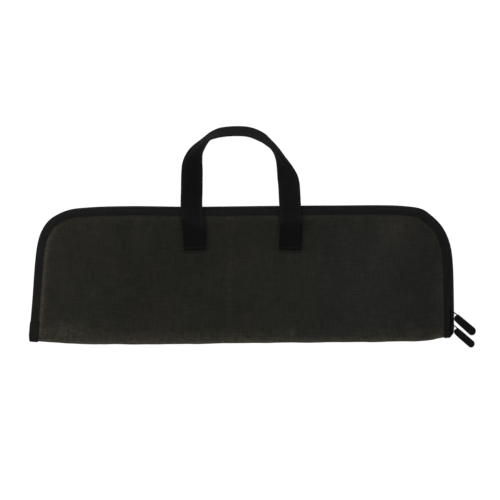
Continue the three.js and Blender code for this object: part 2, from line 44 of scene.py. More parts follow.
# The case's outline in plan: x, y and how far the front panel's edge lies inside the back panel's
outlineRows = np.array([
    [-245.6, -108.2, 1.8], [-242.2, -68.0, 1.8], [-239.3, -28.3, 1.8], [-236.7, -8.5, 1.9],
    [-232.7, 4.7, 2.1], [-225.1, 16.5, 2.4], [-214.7, 23.9, 2.8], [-200.9, 29.2, 3.3],
    [-178.9, 31.7, 3.8], [-134.9, 33.0, 3.8], [-68.9, 32.3, 3.8], [8.1, 33.1, 3.8],
    [85.1, 33.7, 3.8], [165.0, 33.2, 3.8], [186.6, 29.7, 3.9], [196.7, 22.8, 4.1],
    [206.8, 12.8, 4.3], [213.4, 1.8, 4.5], [217.9, -11.8, 4.7], [220.1, -28.3, 4.9],
    [221.3, -68.0, 5.0], [221.5, -103.8, 5.0],
])
shoulderLeft, shoulderRight = 5, 16  # the rows at the middle of the two upper corners
lastOutline = len(outlineRows) - 1

# The fold that closes the case along its lower edge: x, y
foldLine = np.array([
    [-246.0, -115.2], [-228.0, -116.3], [-190.0, -117.9], [-118.0, -118.5], [-3.0, -117.0],
    [96.0, -116.2], [162.0, -115.4], [195.0, -114.0], [207.0, -111.6], [222.0, -110.8],
])

body = {"thick": 24.0, "slimmer": 2.0, "top": 33.0, "tall": 150.0, "wall": 1.8,
        "foldDepth": 7.0, "foldSwell": 0.07, "foldSquareness": 0.8}
rim = {"lift": 1.7, "flat": 18.0, "ease": 20.0}
wave = {"height": 0.5, "alongX": 41.0, "alongY": 36.0, "phase": 0.8}
tapeThick = 1.0  # the binding's tape


# A curve through rows of points. Between two rows it is the cubic whose end slopes come from the
# neighbouring rows, weighed by the square roots of their distances, or evenly.
def curveThrough(rows, at, even=False):
    p = np.vstack([2 * rows[0] - rows[1], rows, 2 * rows[-1] - rows[-2]])
    at = np.clip(at, 0, len(rows) - 1)
    k = np.minimum(at.astype(int), len(rows) - 2)
    w = (at - k)[:, None]
    p0, p1, p2, p3 = p[k], p[k + 1], p[k + 2], p[k + 3]
    d0, d1, d2 = (
        1.0 if even else np.sqrt(np.linalg.norm(b - a, axis=1, keepdims=True))
        for a, b in ((p0, p1), (p1, p2), (p2, p3))
    )
    m1 = ((p1 - p0) / d0 - (p2 - p0) / (d0 + d1) + (p2 - p1) / d1) * d1
    m2 = ((p2 - p1) / d1 - (p3 - p1) / (d1 + d2) + (p3 - p2) / d2) * d1
    return p1 + m1 * w + (3 * (p2 - p1) - 2 * m1 - m2) * w**2 + (2 * (p1 - p2) + m1 + m2) * w**3


# A vector, or each row of vectors, divided by its length
def unit(v):
    return v / np.maximum(np.linalg.norm(v, axis=-1, keepdims=True), 1e-12)


# 0 up to low and 1 from high on, with 3 t squared less 2 t cubed between them
def smoothstep(x, low, high):
    t = np.clip((x - low) / (high - low), 0, 1)
    return t * t * (3 - 2 * t)


# A bell: 1 at its middle, and e to the minus square of the distance counted in half widths
def bell(x, middle, half):
    return np.exp(-(((x - middle) / half) ** 2))


# Distance travelled along a line of points, from 0 at its first point
def travelled(points):
    steps = np.linalg.norm(np.diff(points, axis=0), axis=1)
    return np.concatenate([[0], np.cumsum(steps)])


# Rows of values read off at places along a line whose own rows lie at the distances at
def readAt(places, at, rows):
    return np.stack([np.interp(places, at, rows[:, k]) for k in range(rows.shape[1])], axis=-1)


# Uneven ground: a sum of plane waves in random directions, with the wavelengths spread between two
# lengths in mm and the amplitudes in proportion to them, scaled to a height of about 1
def rumple(x, y, shortest, longest, waves, seed, stretch=1.0):
    rng = np.random.default_rng(seed)
    total = np.zeros_like(x)
    weight = 0.0
    for length in np.geomspace(shortest, longest, waves):
        turn, phase = rng.uniform(0, math.pi), rng.uniform(0, 2 * math.pi)
        across = x * math.cos(turn) + y * stretch * math.sin(turn)
        total += length * np.sin(2 * math.pi * across / length + phase)
        weight += length**2
    return total / math.sqrt(weight / 2) / 2


# The outline at a row number: its point, the front panel's setback there, and the plan directions along
# it and into the case
def outlineAt(at):
    p = curveThrough(outlineRows, at)
    ahead, behind = curveThrough(outlineRows, at + 0.01), curveThrough(outlineRows, at - 0.01)
    along = unit((ahead - behind)[:, :2])
    inward = np.stack([along[:, 1], -along[:, 0]], axis=1)
    return p[:, :2], p[:, 2], along, inward


# The canvas edge inside its binding, on the front panel (front=1) or the back panel (front=0)
def canvasEdge(at, front):
    p, setback, _, inward = outlineAt(at)
    return p + inward * (gap + tapeThick + setback * front)[:, None]


# The fold line's y at an x
def foldY(x):
    fine = curveThrough(foldLine, np.linspace(0, len(foldLine) - 1, 400))
    return np.interp(x, fine[:, 0], fine[:, 1])


# The case's thickness at a y: less towards the fold, by the square of the way down
def thicknessAt(y):
    return body["thick"] - body["slimmer"] * ((body["top"] - y) / body["tall"]) ** 2


# The distance from each plan point to a line of points, and the distance along the line to the place that
# is nearest to it
def distanceTo(line, x, y):
    a, d = line[:-1], np.diff(line, axis=0)
    at = travelled(line)[:-1]
    length = np.linalg.norm(d, axis=1)
    flat = np.stack([x.ravel(), y.ravel()], axis=1)
    nearest, place = [], []
    for part in np.array_split(flat, max(1, len(flat) // 20000)):
        t = np.clip(((part[:, None] - a) * d).sum(2) / length**2, 0, 1)
        off = np.linalg.norm(part[:, None] - a - t[..., None] * d, axis=2)
        k = off.argmin(axis=1)
        rows = np.arange(len(part))
        nearest.append(off[rows, k])
        place.append(at[k] + t[rows, k] * length[k])
    return np.concatenate(nearest).reshape(x.shape), np.concatenate(place).reshape(x.shape)


frontEdgeLine = canvasEdge(np.linspace(0, lastOutline, 170), 1)
backEdgeLine = canvasEdge(np.linspace(0, lastOutline, 170), 0)


# The front panel's height without its small relief: the case's thickness, a little lower along the
# rim, plus one long shallow wave
def plainFront(x, y, distance):
    share = 1 - smoothstep(distance, rim["flat"], rim["flat"] + rim["ease"])
    uneven = wave["height"] * np.sin(x / wave["alongX"] + wave["phase"]) * np.cos(y / wave["alongY"])
    return thicknessAt(y) - rim["lift"] * share + uneven * (1 - share)


# A shape: points, sets of faces and sets of face corners in the piece's own flat map. Its volume is
# added up over its faces, and where it is under 0 every face is turned round to point outwards.
def shape(points, faceSets, mapSets=None):
    mapSets = mapSets or [np.zeros(f.shape + (2,)) for f in faceSets]
    volume = 0.0
    for f in faceSets:
        for k in range(1, f.shape[1] - 1):
            a, b, c = points[f[:, 0]], points[f[:, k]], points[f[:, k + 1]]
            volume += (a * np.cross(b, c)).sum()
    if volume < 0:
        faceSets = [f[:, ::-1] for f in faceSets]
        mapSets = [m[:, ::-1] for m in mapSets]
    return {"points": points, "faces": faceSets, "maps": mapSets}


# The four-sided faces of a grid of points, closed round from the last column to the first if it wraps
def gridQuads(rows, columns, offset=0, wrap=False):
    r, c = np.meshgrid(np.arange(rows - 1), np.arange(columns if wrap else columns - 1), indexing="ij")
    r, c = r.ravel() * columns, c.ravel()
    nextC = (c + 1) % columns
    return offset + np.stack([r + c, r + columns + c, r + columns + nextC, r + nextC], axis=1)


# The flat map of a grid's cells, in metres, from lengths down and across in mm, each for a row or a
# column, or for every point
def gridMap(down, across):
    size = len(down), across.shape[-1]
    down = np.broadcast_to(down[:, None] if down.ndim == 1 else down, size)
    across = np.broadcast_to(across, size)
    cells = [np.stack([g[:-1, :-1], g[1:, :-1], g[1:, 1:], g[:-1, 1:]], axis=2) for g in (across, down)]
    return np.stack(cells, axis=3).reshape(-1, 4, 2) * mm


# A tube: one closed section for each station, given as a grid of points, with flat ends
def tubeShape(grid, along, around):
    rows, sides = grid.shape[:2]
    quads = gridQuads(rows, sides, wrap=True)
    ends = [np.arange(sides)[None], (rows - 1) * sides + np.arange(sides)[None, ::-1]]
    maps = [gridMap(along, around), *(np.zeros((1, sides, 2)) for _ in ends)]
    return shape(grid.reshape(-1, 3), [quads, *ends], maps)


# A section of [across, up] pairs carried along stations, with a fixed size or a size for each station
def sweep(origin, across, up, section, along=None):
    section = np.broadcast_to(section, (len(origin),) + section.shape[-2:])
    grid = origin[:, None] + across[:, None] * section[..., :1] + up[:, None] * section[..., 1:]
    around = travelled(np.vstack([section[0], section[0, :1]]))
    return tubeShape(grid, travelled(origin) if along is None else along, around)


# A round wire along points: at each, a ring by the cosine and sine of the turn in the plane across the
# wire. The reference is a direction that stays away from the wire's own.
def wireShape(points, radius, sides, reference):
    tangent = unit(np.gradient(points, axis=0))
    side = unit(reference - (reference * tangent).sum(1, keepdims=True) * tangent)
    other = np.cross(tangent, side)
    turn = (np.arange(sides) * 2 * math.pi / sides)[:, None]
    grid = points[:, None] + radius * (side[:, None] * np.cos(turn) + other[:, None] * np.sin(turn))
    return tubeShape(grid, travelled(points), radius * np.append(turn, 2 * math.pi))


# A flat outline made thick from a low to a high level, and then carried to its place
def slabShape(outline, low, high, place):
    n = len(outline)
    ring = np.arange(n)
    quads = np.stack([ring, (ring + 1) % n, (ring + 1) % n + n, ring + n], axis=1)
    flat = np.vstack([np.column_stack([outline, np.full(n, level)]) for level in (low, high)])
    return shape(place(flat), [quads, ring[None, ::-1], ring[None] + n])


# A box from its lowest to its highest corner
def boxShape(low, high):
    base = np.array([[low[0], low[1]], [high[0], low[1]], [high[0], high[1]], [low[0], high[1]]])
    return slabShape(base, low[2], high[2], lambda p: p)


# A line with its corners rounded off: points on a quadratic curve, from one place beside the corner to
# another, take the corner's place
def roundedCorners(corners, radius, steps, closed):
    corners = np.asarray(corners, float)
    n = len(corners)
    run = []
    for i in range(n):
        if not closed and i in (0, n - 1):
            run.append(corners[i])
            continue
        before, here, after = corners[i - 1], corners[i], corners[(i + 1) % n]
        reach = radius if np.isscalar(radius) else radius[i]
        a = here + unit(before - here) * min(reach, np.linalg.norm(before - here) * 0.48)
        b = here + unit(after - here) * min(reach, np.linalg.norm(after - here) * 0.48)
        for t in np.linspace(0, 1, steps):
            run.append(a * (1 - t) ** 2 + 2 * here * t * (1 - t) + b * t**2)
    return np.array(run)


# Points at even distances along a line
def evenly(points, count, closed=False):
    line = np.vstack([points, points[:1]]) if closed else points
    at = travelled(line)
    places = np.linspace(0, at[-1], count + 1)[:-1] if closed else np.linspace(0, at[-1], count)
    return readAt(places, at, line)


# Shapes joined in one smooth mesh, in metres in the frame, with marks as attributes. Edges sharper than
# an angle in degrees stay sharp, if one is given.
def joinedMesh(name, shapes, marks, sharp):
    start = np.cumsum([0] + [len(s["points"]) for s in shapes])
    points = (np.vstack([s["points"] for s in shapes]) - bodyMiddle) * mm
    faces = [f + start[i] for i, s in enumerate(shapes) for f in s["faces"]]
    maps = np.concatenate([m.reshape(-1, 2) for s in shapes for m in s["maps"]])
    corner = np.concatenate([f.ravel() for f in faces])
    total = np.concatenate([np.full(len(f), f.shape[1]) for f in faces])
    mesh = bpy.data.meshes.new(name)
    mesh.vertices.add(len(points))
    mesh.vertices.foreach_set("co", points.astype(np.float32).ravel())
    mesh.loops.add(len(corner))
    mesh.loops.foreach_set("vertex_index", corner.astype(np.int32))
    mesh.polygons.add(len(total))
    mesh.polygons.foreach_set("loop_start", np.concatenate([[0], np.cumsum(total)[:-1]]).astype(np.int32))
    mesh.update(calc_edges=True)
    mesh.polygons.foreach_set("use_smooth", np.ones(len(total), bool))
    mesh.uv_layers.new(name="flat").data.foreach_set("uv", maps.astype(np.float32).ravel())
    for key, values in marks.items():
        mark = mesh.attributes.new(key, "FLOAT", "POINT")
        mark.data.foreach_set("value", values.astype(np.float32).ravel())
    if sharp:
        mesh.set_sharp_from_angle(angle=math.radians(sharp))
    if mesh.validate():
        raise ValueError(name + ": the mesh had faults")
    return mesh


# A piece of the case: its mesh and material, the body that carries it and the solids that it stands for
def addPiece(name, shapes, material, bodyName, nodes, marks=None, sharp=None):
    mesh = joinedMesh(name, shapes if isinstance(shapes, list) else [shapes], marks or {}, sharp)
    mesh.materials.append(material)
    piece = bpy.data.objects.new(name, mesh)
    bpy.context.scene.collection.objects.link(piece)
    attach(piece, bodyName)
    if nodes:
        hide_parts(*nodes)
    print(f"  {name}: {len(mesh.vertices)} points, {len(mesh.polygons)} faces")
    return piece


# A shader node with its settings. Each input takes a value or another node's output, and an input that
# has no name of its own is given by its number, as i0.
def addNode(tree, kind, settings=None, **inputs):
    node = tree.nodes.new(kind)
    for key, value in (settings or {}).items():
        setattr(node, key, value)
    for key, value in inputs.items():
        name = key.replace("_", " ")
        socket = node.inputs[int(key[1:])] if key[0] == "i" and key[1:].isdigit() else node.inputs[name]
        if isinstance(value, bpy.types.NodeSocket):
            tree.links.new(value, socket)
        else:
            socket.default_value = value
    return node


# The result of a Math node
def maths(tree, operation, a, b=0.0, c=0.0):
    return addNode(tree, "ShaderNodeMath", {"operation": operation}, i0=a, i1=b, i2=c).outputs[0]


# The absolute sine of a number of half turns: 0 at whole numbers, 1 half way between them
def ripples(tree, value):
    return maths(tree, "ABSOLUTE", maths(tree, "SINE", maths(tree, "MULTIPLY", value, math.pi)))


# Two colours mixed by a share; a Mix node's colour sockets are its inputs 6 and 7 and its output 2
def mixColours(tree, share, a, b, kind="MIX"):
    settings = {"data_type": "RGBA", "blend_type": kind}
    return addNode(tree, "ShaderNodeMix", settings, i0=share, i6=a, i7=b).outputs[2]


# A colour multiplied by a number
def shaded(tree, tone, amount):
    shade = addNode(tree, "ShaderNodeCombineXYZ", X=amount, Y=amount, Z=amount).outputs[0]
    return mixColours(tree, 1.0, tone, shade, "MULTIPLY")


# A value carried from one range to another by a smooth step
def ranged(tree, value, low, high, toLow=0.0, toHigh=1.0):
    ends = {"From_Min": low, "From_Max": high, "To_Min": toLow, "To_Max": toHigh}
    smooth = {"interpolation_type": "SMOOTHSTEP"}
    return addNode(tree, "ShaderNodeMapRange", smooth, Value=value, **ends).outputs[0]


# Cloudy noise from 0 to 1
def noise(tree, vector, scale, detail=3.0, roughness=0.5):
    return addNode(tree, "ShaderNodeTexNoise", Vector=vector, Scale=scale, Detail=detail,
                   Roughness=roughness).outputs[0]


# Coordinates scaled by a factor for each axis
def stretched(tree, vector, scale):
    return addNode(tree, "ShaderNodeMapping", Vector=vector, Scale=scale).outputs[0]


# The values that a piece's points carry under a name
def marksOf(tree, name):
    return addNode(tree, "ShaderNodeAttribute", {"attribute_name": name}).outputs["Fac"]


# Bump on a shader from a height from 0 to 1 and its depth in metres
def addBump(tree, shader, strength, depth, height):
    bump = addNode(tree, "ShaderNodeBump", Strength=strength, Distance=depth, Height=height)
    tree.links.new(bump.outputs[0], shader.inputs["Normal"])


# A node group with a Vector input, numbers with their first values, and outputs that are numbers
def newGroup(name, numbers, outputs):
    tree = bpy.data.node_groups.new(name, "ShaderNodeTree")
    tree.interface.new_socket("Vector", in_out="INPUT", socket_type="NodeSocketVector")
    for key, value in numbers.items():
        socket = tree.interface.new_socket(key, in_out="INPUT", socket_type="NodeSocketFloat")
        socket.default_value = value
    for key in outputs:
        tree.interface.new_socket(key, in_out="OUTPUT", socket_type="NodeSocketFloat")
    return tree, tree.nodes.new("NodeGroupInput").outputs, tree.nodes.new("NodeGroupOutput").inputs


weaveSlubs = (55.0, 620.0, 1.0), (620.0, 55.0, 1.0)  # how often the noise changes, per metre of cloth


# Plain weave: rounded threads both ways, the upper one changing like a chessboard, and thick and thin
# stretches along the threads. Height is 0 to 1, Streak is the thick and thin of the threads.
def plainWeaveGroup():
    tree, given, made = newGroup("plainWeave", {"Pitch": 0.001, "Slub": 1.0}, ["Height", "Streak"])
    at = addNode(tree, "ShaderNodeSeparateXYZ", Vector=given["Vector"])
    along = maths(tree, "DIVIDE", at.outputs[0], given["Pitch"])
    down = maths(tree, "DIVIDE", at.outputs[1], given["Pitch"])
    cell = maths(tree, "ADD", maths(tree, "FLOOR", along), maths(tree, "FLOOR", down))
    upper = maths(tree, "FLOORED_MODULO", cell, 2.0)
    threads = {"i0": upper, "i2": ripples(tree, along), "i3": ripples(tree, down)}
    thread = addNode(tree, "ShaderNodeMix", {"data_type": "FLOAT"}, **threads).outputs[0]
    both = [noise(tree, stretched(tree, given["Vector"], scale), 1.0, 3.0, 0.7) for scale in weaveSlubs]
    streak = maths(tree, "MULTIPLY", maths(tree, "SUBTRACT", maths(tree, "ADD", *both), 1.0), given["Slub"])
    tree.links.new(maths(tree, "MULTIPLY_ADD", streak, 0.8, thread), made["Height"])
    tree.links.new(streak, made["Streak"])
    return tree


# Webbing or tape: cords side by side along the strap, each bound down at a step, half a step apart
def cordedGroup():
    tree, given, made = newGroup("corded", {"Width": 0.001, "Step": 0.002}, ["Height", "Streak"])
    at = addNode(tree, "ShaderNodeSeparateXYZ", Vector=given["Vector"])
    column = maths(tree, "DIVIDE", at.outputs[0], given["Width"])
    shifted = maths(tree, "MULTIPLY", maths(tree, "FLOOR", column), 0.5)
    row = maths(tree, "ADD", maths(tree, "DIVIDE", at.outputs[1], given["Step"]), shifted)
    height = maths(tree, "POWER", maths(tree, "MULTIPLY", ripples(tree, column), ripples(tree, row)), 0.5)
    streak = noise(tree, stretched(tree, given["Vector"], (900.0, 90.0, 1.0)), 1.0, 3.0)
    tree.links.new(height, made["Height"])
    tree.links.new(maths(tree, "SUBTRACT", streak, 0.5), made["Streak"])
    return tree


# Patches of tone at two sizes, from 0 to 1, with fine grain on top
def patchyGroup():
    numbers = {"Large": 20.0, "Small": 150.0, "Contrast": 1.0}
    tree, given, made = newGroup("patchy", numbers, ["Tone", "Grain"])
    large = noise(tree, given["Vector"], given["Large"], 3.0, 0.55)
    small = noise(tree, given["Vector"], given["Small"], 4.0, 0.6)
    both = maths(tree, "MULTIPLY_ADD", small, 0.3, maths(tree, "MULTIPLY", large, 0.7))
    tone = maths(tree, "MULTIPLY_ADD", maths(tree, "SUBTRACT", both, 0.5), given["Contrast"], 0.5)
    tree.links.new(tone, made["Tone"])
    tree.links.new(noise(tree, given["Vector"], 2600.0, 2.0), made["Grain"])
    return tree


groups = {"plainWeave": plainWeaveGroup(), "corded": cordedGroup(), "patchy": patchyGroup()}


# The outputs of a group placed in a material with its own values
def useGroup(tree, name, **inputs):
    return addNode(tree, "ShaderNodeGroup", {"node_tree": groups[name]}, **inputs).outputs


# A material whose shader has these numbers on its own sockets
def newMaterial(name, **shaderValues):
    material = bpy.data.materials.new(name)
    material.use_nodes = True
    tree = material.node_tree
    shader = next(n for n in tree.nodes if n.type == "BSDF_PRINCIPLED")
    for key, value in shaderValues.items():
        shader.inputs[key.replace("_", " ")].default_value = value
    return material, tree, shader


def grey(value):
    return (value, value, value, 1.0)


# Canvas: colours, among them the pale one for rubs and painted light, the weave's pitch and depth in metres,
# patches, and the green spots' size and limits
canvasLook = {
    "darkBrown": (0.0126, 0.0115, 0.0091, 1.0), "lightBrown": (0.0216, 0.0196, 0.0152, 1.0),
    "darkGreen": (0.0090, 0.0098, 0.0069, 1.0), "lightGreen": (0.0176, 0.0188, 0.0134, 1.0),
    "darkCool": (0.0062, 0.0066, 0.0058, 1.0), "lightCool": (0.0184, 0.0189, 0.0171, 1.0),
    "wearAndPaintedLight": (0.0640, 0.0560, 0.0415, 1.0),
    "pitch": 0.00062, "bump": 0.00016, "patches": {"Large": 11.0, "Small": 130.0, "Contrast": 2.3},
    "hueSize": 26.0, "hueFrom": 0.50, "hueTo": 0.68, "rubSize": 260.0,
}


# Waxed canvas: each spot is brown or green olive, or cooler where the piece marks it, and lighter or
# darker in patches. High threads are lighter, a painted shade between the threads, and places that the piece
# marks are paler, by rubs and by painted light.
def waxedCanvas():
    material, tree, shader = newMaterial("waxedCanvas", Specular_IOR_Level=0.06)
    cloth = addNode(tree, "ShaderNodeUVMap", {"uv_map": "flat"}).outputs[0]
    place = addNode(tree, "ShaderNodeTexCoord").outputs["Object"]
    weave = useGroup(tree, "plainWeave", Vector=cloth, Pitch=canvasLook["pitch"], Slub=1.0)
    patches = useGroup(tree, "patchy", Vector=place, **canvasLook["patches"])
    brown, green, coolTone = (
        mixColours(tree, patches["Tone"], canvasLook["dark" + hue], canvasLook["light" + hue])
        for hue in ("Brown", "Green", "Cool")
    )
    hueNoise = noise(tree, stretched(tree, place, (1.0, 0.6, 1.0)), canvasLook["hueSize"], 4.0, 0.7)
    hueNoise = maths(tree, "MULTIPLY_ADD", marksOf(tree, "green"), 0.16, hueNoise)
    hue = ranged(tree, hueNoise, canvasLook["hueFrom"], canvasLook["hueTo"])
    tone = mixColours(tree, marksOf(tree, "cool"), mixColours(tree, hue, brown, green), coolTone)
    wearAndPaintedLight = marksOf(tree, "wearAndPaintedLight")
    rubAndPaintedLight = noise(tree, place, canvasLook["rubSize"], 4.0, 0.65)
    rubAndLight = maths(tree, "MULTIPLY", wearAndPaintedLight, ranged(tree, rubAndPaintedLight, 0.32, 0.62, 0.45, 1.0))
    tone = mixColours(tree, rubAndLight, tone, canvasLook["wearAndPaintedLight"])
    # painted shade between the threads: high threads lighter than the hollows, with slubs on top
    threads = maths(tree, "MULTIPLY_ADD", weave["Height"], 0.22, 0.87)
    threads = maths(tree, "MULTIPLY_ADD", weave["Streak"], 0.8, threads)
    tree.links.new(shaded(tree, tone, threads), shader.inputs["Base Color"])
    rough = maths(tree, "MULTIPLY_ADD", patches["Tone"], 0.18, 0.52)
    tree.links.new(maths(tree, "MULTIPLY_ADD", wearAndPaintedLight, 0.15, rough), shader.inputs["Roughness"])
    height = maths(tree, "MULTIPLY_ADD", patches["Grain"], 0.4, weave["Height"])
    addBump(tree, shader, 0.75, canvasLook["bump"], height)
    return material


# Corded cloths: two near blacks, the cords' width and step and the depth of their bump in metres, gloss
clothLooks = {
    "bindingTape": {"dark": 0.0068, "light": 0.0104, "width": 0.0011, "step": 0.0009, "depth": 0.00010,
                    "specular": 0.05, "roughness": 0.75},
    "webbing": {"dark": 0.0036, "light": 0.0053, "width": 0.0019, "step": 0.0026, "depth": 0.00030,
                "specular": 0.05, "roughness": 0.7},
    # the zip tape's tones are set lighter than the binding's, a painted light that lifts the shade in the
    # gap between the bindings
    "zipCloth": {"dark": 0.0105, "light": 0.0150, "width": 0.0006, "step": 0.0006, "depth": 0.00010,
                 "specular": 0.05, "roughness": 0.8},
    "thread": {"dark": 0.0050, "light": 0.0076, "width": 0.0003, "step": 0.0004, "depth": 0.00006,
               "specular": 0.08, "roughness": 0.55},
}
clothPatches = {"Large": 45.0, "Small": 220.0, "Contrast": 1.8}


# Tape and webbing: corded cloth, a little patchy, paler on its high cords, a painted shade between the
# cords, and paler where the piece marks wear and painted light
def cordedCloth(name, dark, light, width, step, depth, specular, roughness):
    material, tree, shader = newMaterial(name, Specular_IOR_Level=specular)
    cloth = addNode(tree, "ShaderNodeUVMap", {"uv_map": "flat"}).outputs[0]
    place = addNode(tree, "ShaderNodeTexCoord").outputs["Object"]
    cords = useGroup(tree, "corded", Vector=cloth, Width=width, Step=step)
    patches = useGroup(tree, "patchy", Vector=place, **clothPatches)
    tone = mixColours(tree, patches["Tone"], grey(dark), grey(light))
    # painted shade between the cords, then the piece's wear and painted light, lift the tone
    lift = maths(tree, "MULTIPLY_ADD", cords["Height"], 0.3, 0.8)
    lift = maths(tree, "MULTIPLY_ADD", cords["Streak"], 0.5, lift)
    lift = maths(tree, "MULTIPLY", lift, maths(tree, "ADD", marksOf(tree, "wearAndPaintedLight"), 1.0))
    tree.links.new(shaded(tree, tone, lift), shader.inputs["Base Color"])
    rough = maths(tree, "MULTIPLY_ADD", patches["Grain"], 0.2, roughness - 0.1)
    tree.links.new(rough, shader.inputs["Roughness"])
    addBump(tree, shader, 0.8, depth, maths(tree, "MULTIPLY_ADD", patches["Grain"], 0.35, cords["Height"]))
    return material


# Hard finishes: the tone, gloss, and the depth of the grain in metres
hardLooks = {
    "nylonCoil": {"tone": 0.0120, "roughness": 0.6, "specular": 0.04, "depth": 0.00002},
    "blackMetal": {"tone": 0.0050, "roughness": 0.45, "specular": 0.14, "depth": 0.00002},
    "rubber": {"tone": 0.0040, "roughness": 0.55, "specular": 0.06, "depth": 0.00005},
}
hardPatches = {"Large": 120.0, "Small": 900.0, "Contrast": 1.6}
hardSpread = 0.35  # how far the patches go above and below the tone


# A hard finish: one near black, a little patchy in tone and gloss, with a fine grain
def hardFinish(name, tone, roughness, specular, depth):
    material, tree, shader = newMaterial(name, Specular_IOR_Level=specular)
    place = addNode(tree, "ShaderNodeTexCoord").outputs["Object"]
    patches = useGroup(tree, "patchy", Vector=place, **hardPatches)
    colour = mixColours(tree, patches["Tone"], grey(tone * (1 - hardSpread)), grey(tone * (1 + hardSpread)))
    tree.links.new(colour, shader.inputs["Base Color"])
    rough = maths(tree, "MULTIPLY_ADD", patches["Tone"], 0.2, roughness - 0.1)
    tree.links.new(rough, shader.inputs["Roughness"])
    addBump(tree, shader, 0.6, depth, patches["Grain"])
    return material


canvas = waxedCanvas()
bindingTape, webbing, zipCloth, thread = (cordedCloth(name, **look) for name, look in clothLooks.items())
nylonCoil, blackMetal, rubber = (hardFinish(name, **look) for name, look in hardLooks.items())
print("materials made")

# Handle: webbing, doubled where it is sewn on from its foot up, with ribbed selvedges
handle = {
    "wide": 24.0, "thick": 1.9, "doubled": 3.8, "clear": 0.45, "footY": -13.2, "stitchTop": 6.5,
    "turnedUnder": 28.0, "scallopPitch": 2.6, "scallop": 0.36, "rib": 0.07, "wander": 0.25,
    "selvedge": 0.75, "stations": 900, "stitchInset": 2.2,
}
sewnEnds = [(-64.0, 0.0), (41.5, 0.0)]  # the middles of the two sewn ends
sewnHalf = 14.0  # half their height

# Cover: its grid, and its small relief in mm, most of it beside the seam that the binding hides. The
# lower corners are drawn in and up.
cover = {
    "columns": 300, "frontRows": 92, "foldRows": 20, "backRows": 44,
    "seam": 6.0, "pucker": 0.30, "puckerPitch": 12.0, "puckerReach": 9.0, "trough": 0.30, "troughHalf": 2.5,
    "rumple": 0.34, "calmer": 0.4, "grain": 0.06, "sewnDip": 0.5, "dipReach": 4.5, "foldRipple": 0.045,
    "rightIn": 2.2, "rightUp": 0.4, "leftUp": 0.3,
}
# Creases in the front panel: from x, y to x, y, half width and height in mm
creases = np.array([
    [-24.5, -26.0, -26.5, -104.0, 2.2, 0.28],
    [-112.5, 12.0, -113.5, 2.0, 1.5, 0.22],
    [190.0, 12.0, 205.0, -6.0, 3.2, -0.55],
    [196.0, 14.0, 210.0, -2.0, 3.0, 0.35],
    [150.0, 20.0, 186.0, 14.0, 4.0, -0.25],
    [-60.0, -60.0, -10.0, -66.0, 5.0, 0.20],
    [96.0, -30.0, 140.0, -52.0, 5.0, -0.22],
    [-190.0, -20.0, -160.0, -58.0, 6.0, 0.22],
    [20.0, -72.0, 64.0, -60.0, 5.0, 0.18],
    [-205.0, -80.0, -170.0, -98.0, 5.0, -0.25],
    [168.0, -84.0, 200.0, -96.0, 4.0, 0.28],
])
# Rubbed spots on the front panel: x, y, half length along x, half length along y, strength
rubbedSpots = np.array([
    [-112.8, 6.5, 1.0, 4.0, 0.28], [-25.6, 20.0, 4.5, 2.0, 0.24], [-22.0, 10.0, 2.0, 7.0, 0.10],
    [-25.5, -64.0, 3.0, 36.0, 0.13], [114.8, 18.0, 2.0, 3.5, 0.18], [44.0, -108.0, 3.0, 6.0, 0.45],
    [142.3, -108.5, 2.5, 6.0, 0.30], [175.0, -106.0, 5.0, 4.0, 0.25], [173.1, -97.6, 4.5, 3.0, 0.15],
    [184.1, -105.3, 4.0, 3.0, 0.18], [-205.0, -103.0, 22.0, 8.0, 0.35], [204.0, -70.0, 4.0, 30.0, 0.08],
    [170.0, -72.0, 12.0, 8.0, 0.05], [-150.0, 18.0, 26.0, 5.0, 0.10], [60.0, 22.0, 30.0, 3.0, 0.14],
    [158.0, 8.0, 16.0, 12.0, 0.12],
])


# Plan points beside a straight line: the share of its length that they have passed, and their distance
# from it, over 0 on its left
def besideLine(x, y, x0, y0, x1, y1):
    length = math.hypot(x1 - x0, y1 - y0)
    t = ((x - x0) * (x1 - x0) + (y - y0) * (y1 - y0)) / length**2
    return t, ((y - y0) * (x1 - x0) - (x - x0) * (y1 - y0)) / length


# The small relief of the front panel, in mm. Puckers are a sine along the seam inside a bell beside it,
# and the trough is a narrower bell. Rumples and fine grain lie all over, and are calmer at the left. A
# crease is a bell across its line, which winds by a sine, and fades at both ends. Round each sewn end of
# the handle lies a dip, a bell from its border. All fades to nothing under the binding, and to little
# under the handle's ends.
def frontRelief(x, y, distance, place):
    clearOfBinding = smoothstep(distance, 4.8, 7.5)
    reach = bell(distance, cover["seam"], cover["puckerReach"])
    phase = place / cover["puckerPitch"] * 2 * math.pi + 2.2 * rumple(x, y, 30, 90, 4, 11)
    height = cover["pucker"] * reach * np.sin(phase) * (0.6 + 0.4 * rumple(x, y, 40, 80, 3, 12))
    height -= cover["trough"] * bell(distance, cover["seam"], cover["troughHalf"])
    calm = 1 - cover["calmer"] * smoothstep(-x, 40, 160)
    height += cover["rumple"] * calm * rumple(x, y, 18, 75, 9, 13, 0.8)
    height += cover["grain"] * rumple(x, y, 5, 11, 8, 14)
    for *ends, wide, tall in creases:
        t, off = besideLine(x, y, *ends)
        fade = smoothstep(t, -0.15, 0.25) * (1 - smoothstep(t, 0.75, 1.15))
        height += tall * bell(off, 1.2 * np.sin(t * 7 + ends[0]), wide) * fade
    for x0, y0 in sewnEnds:
        besideX = np.maximum(np.abs(x - x0) - handle["wide"] / 2, 0)
        outside = np.hypot(besideX, np.maximum(np.abs(y - y0) - sewnHalf, 0))
        height -= cover["sewnDip"] * bell(outside, 0, cover["dipReach"]) * smoothstep(outside, 0.0, 1.0)
        height *= smoothstep(outside, -0.5, 2.5) * 0.85 + 0.15
    return height * clearOfBinding


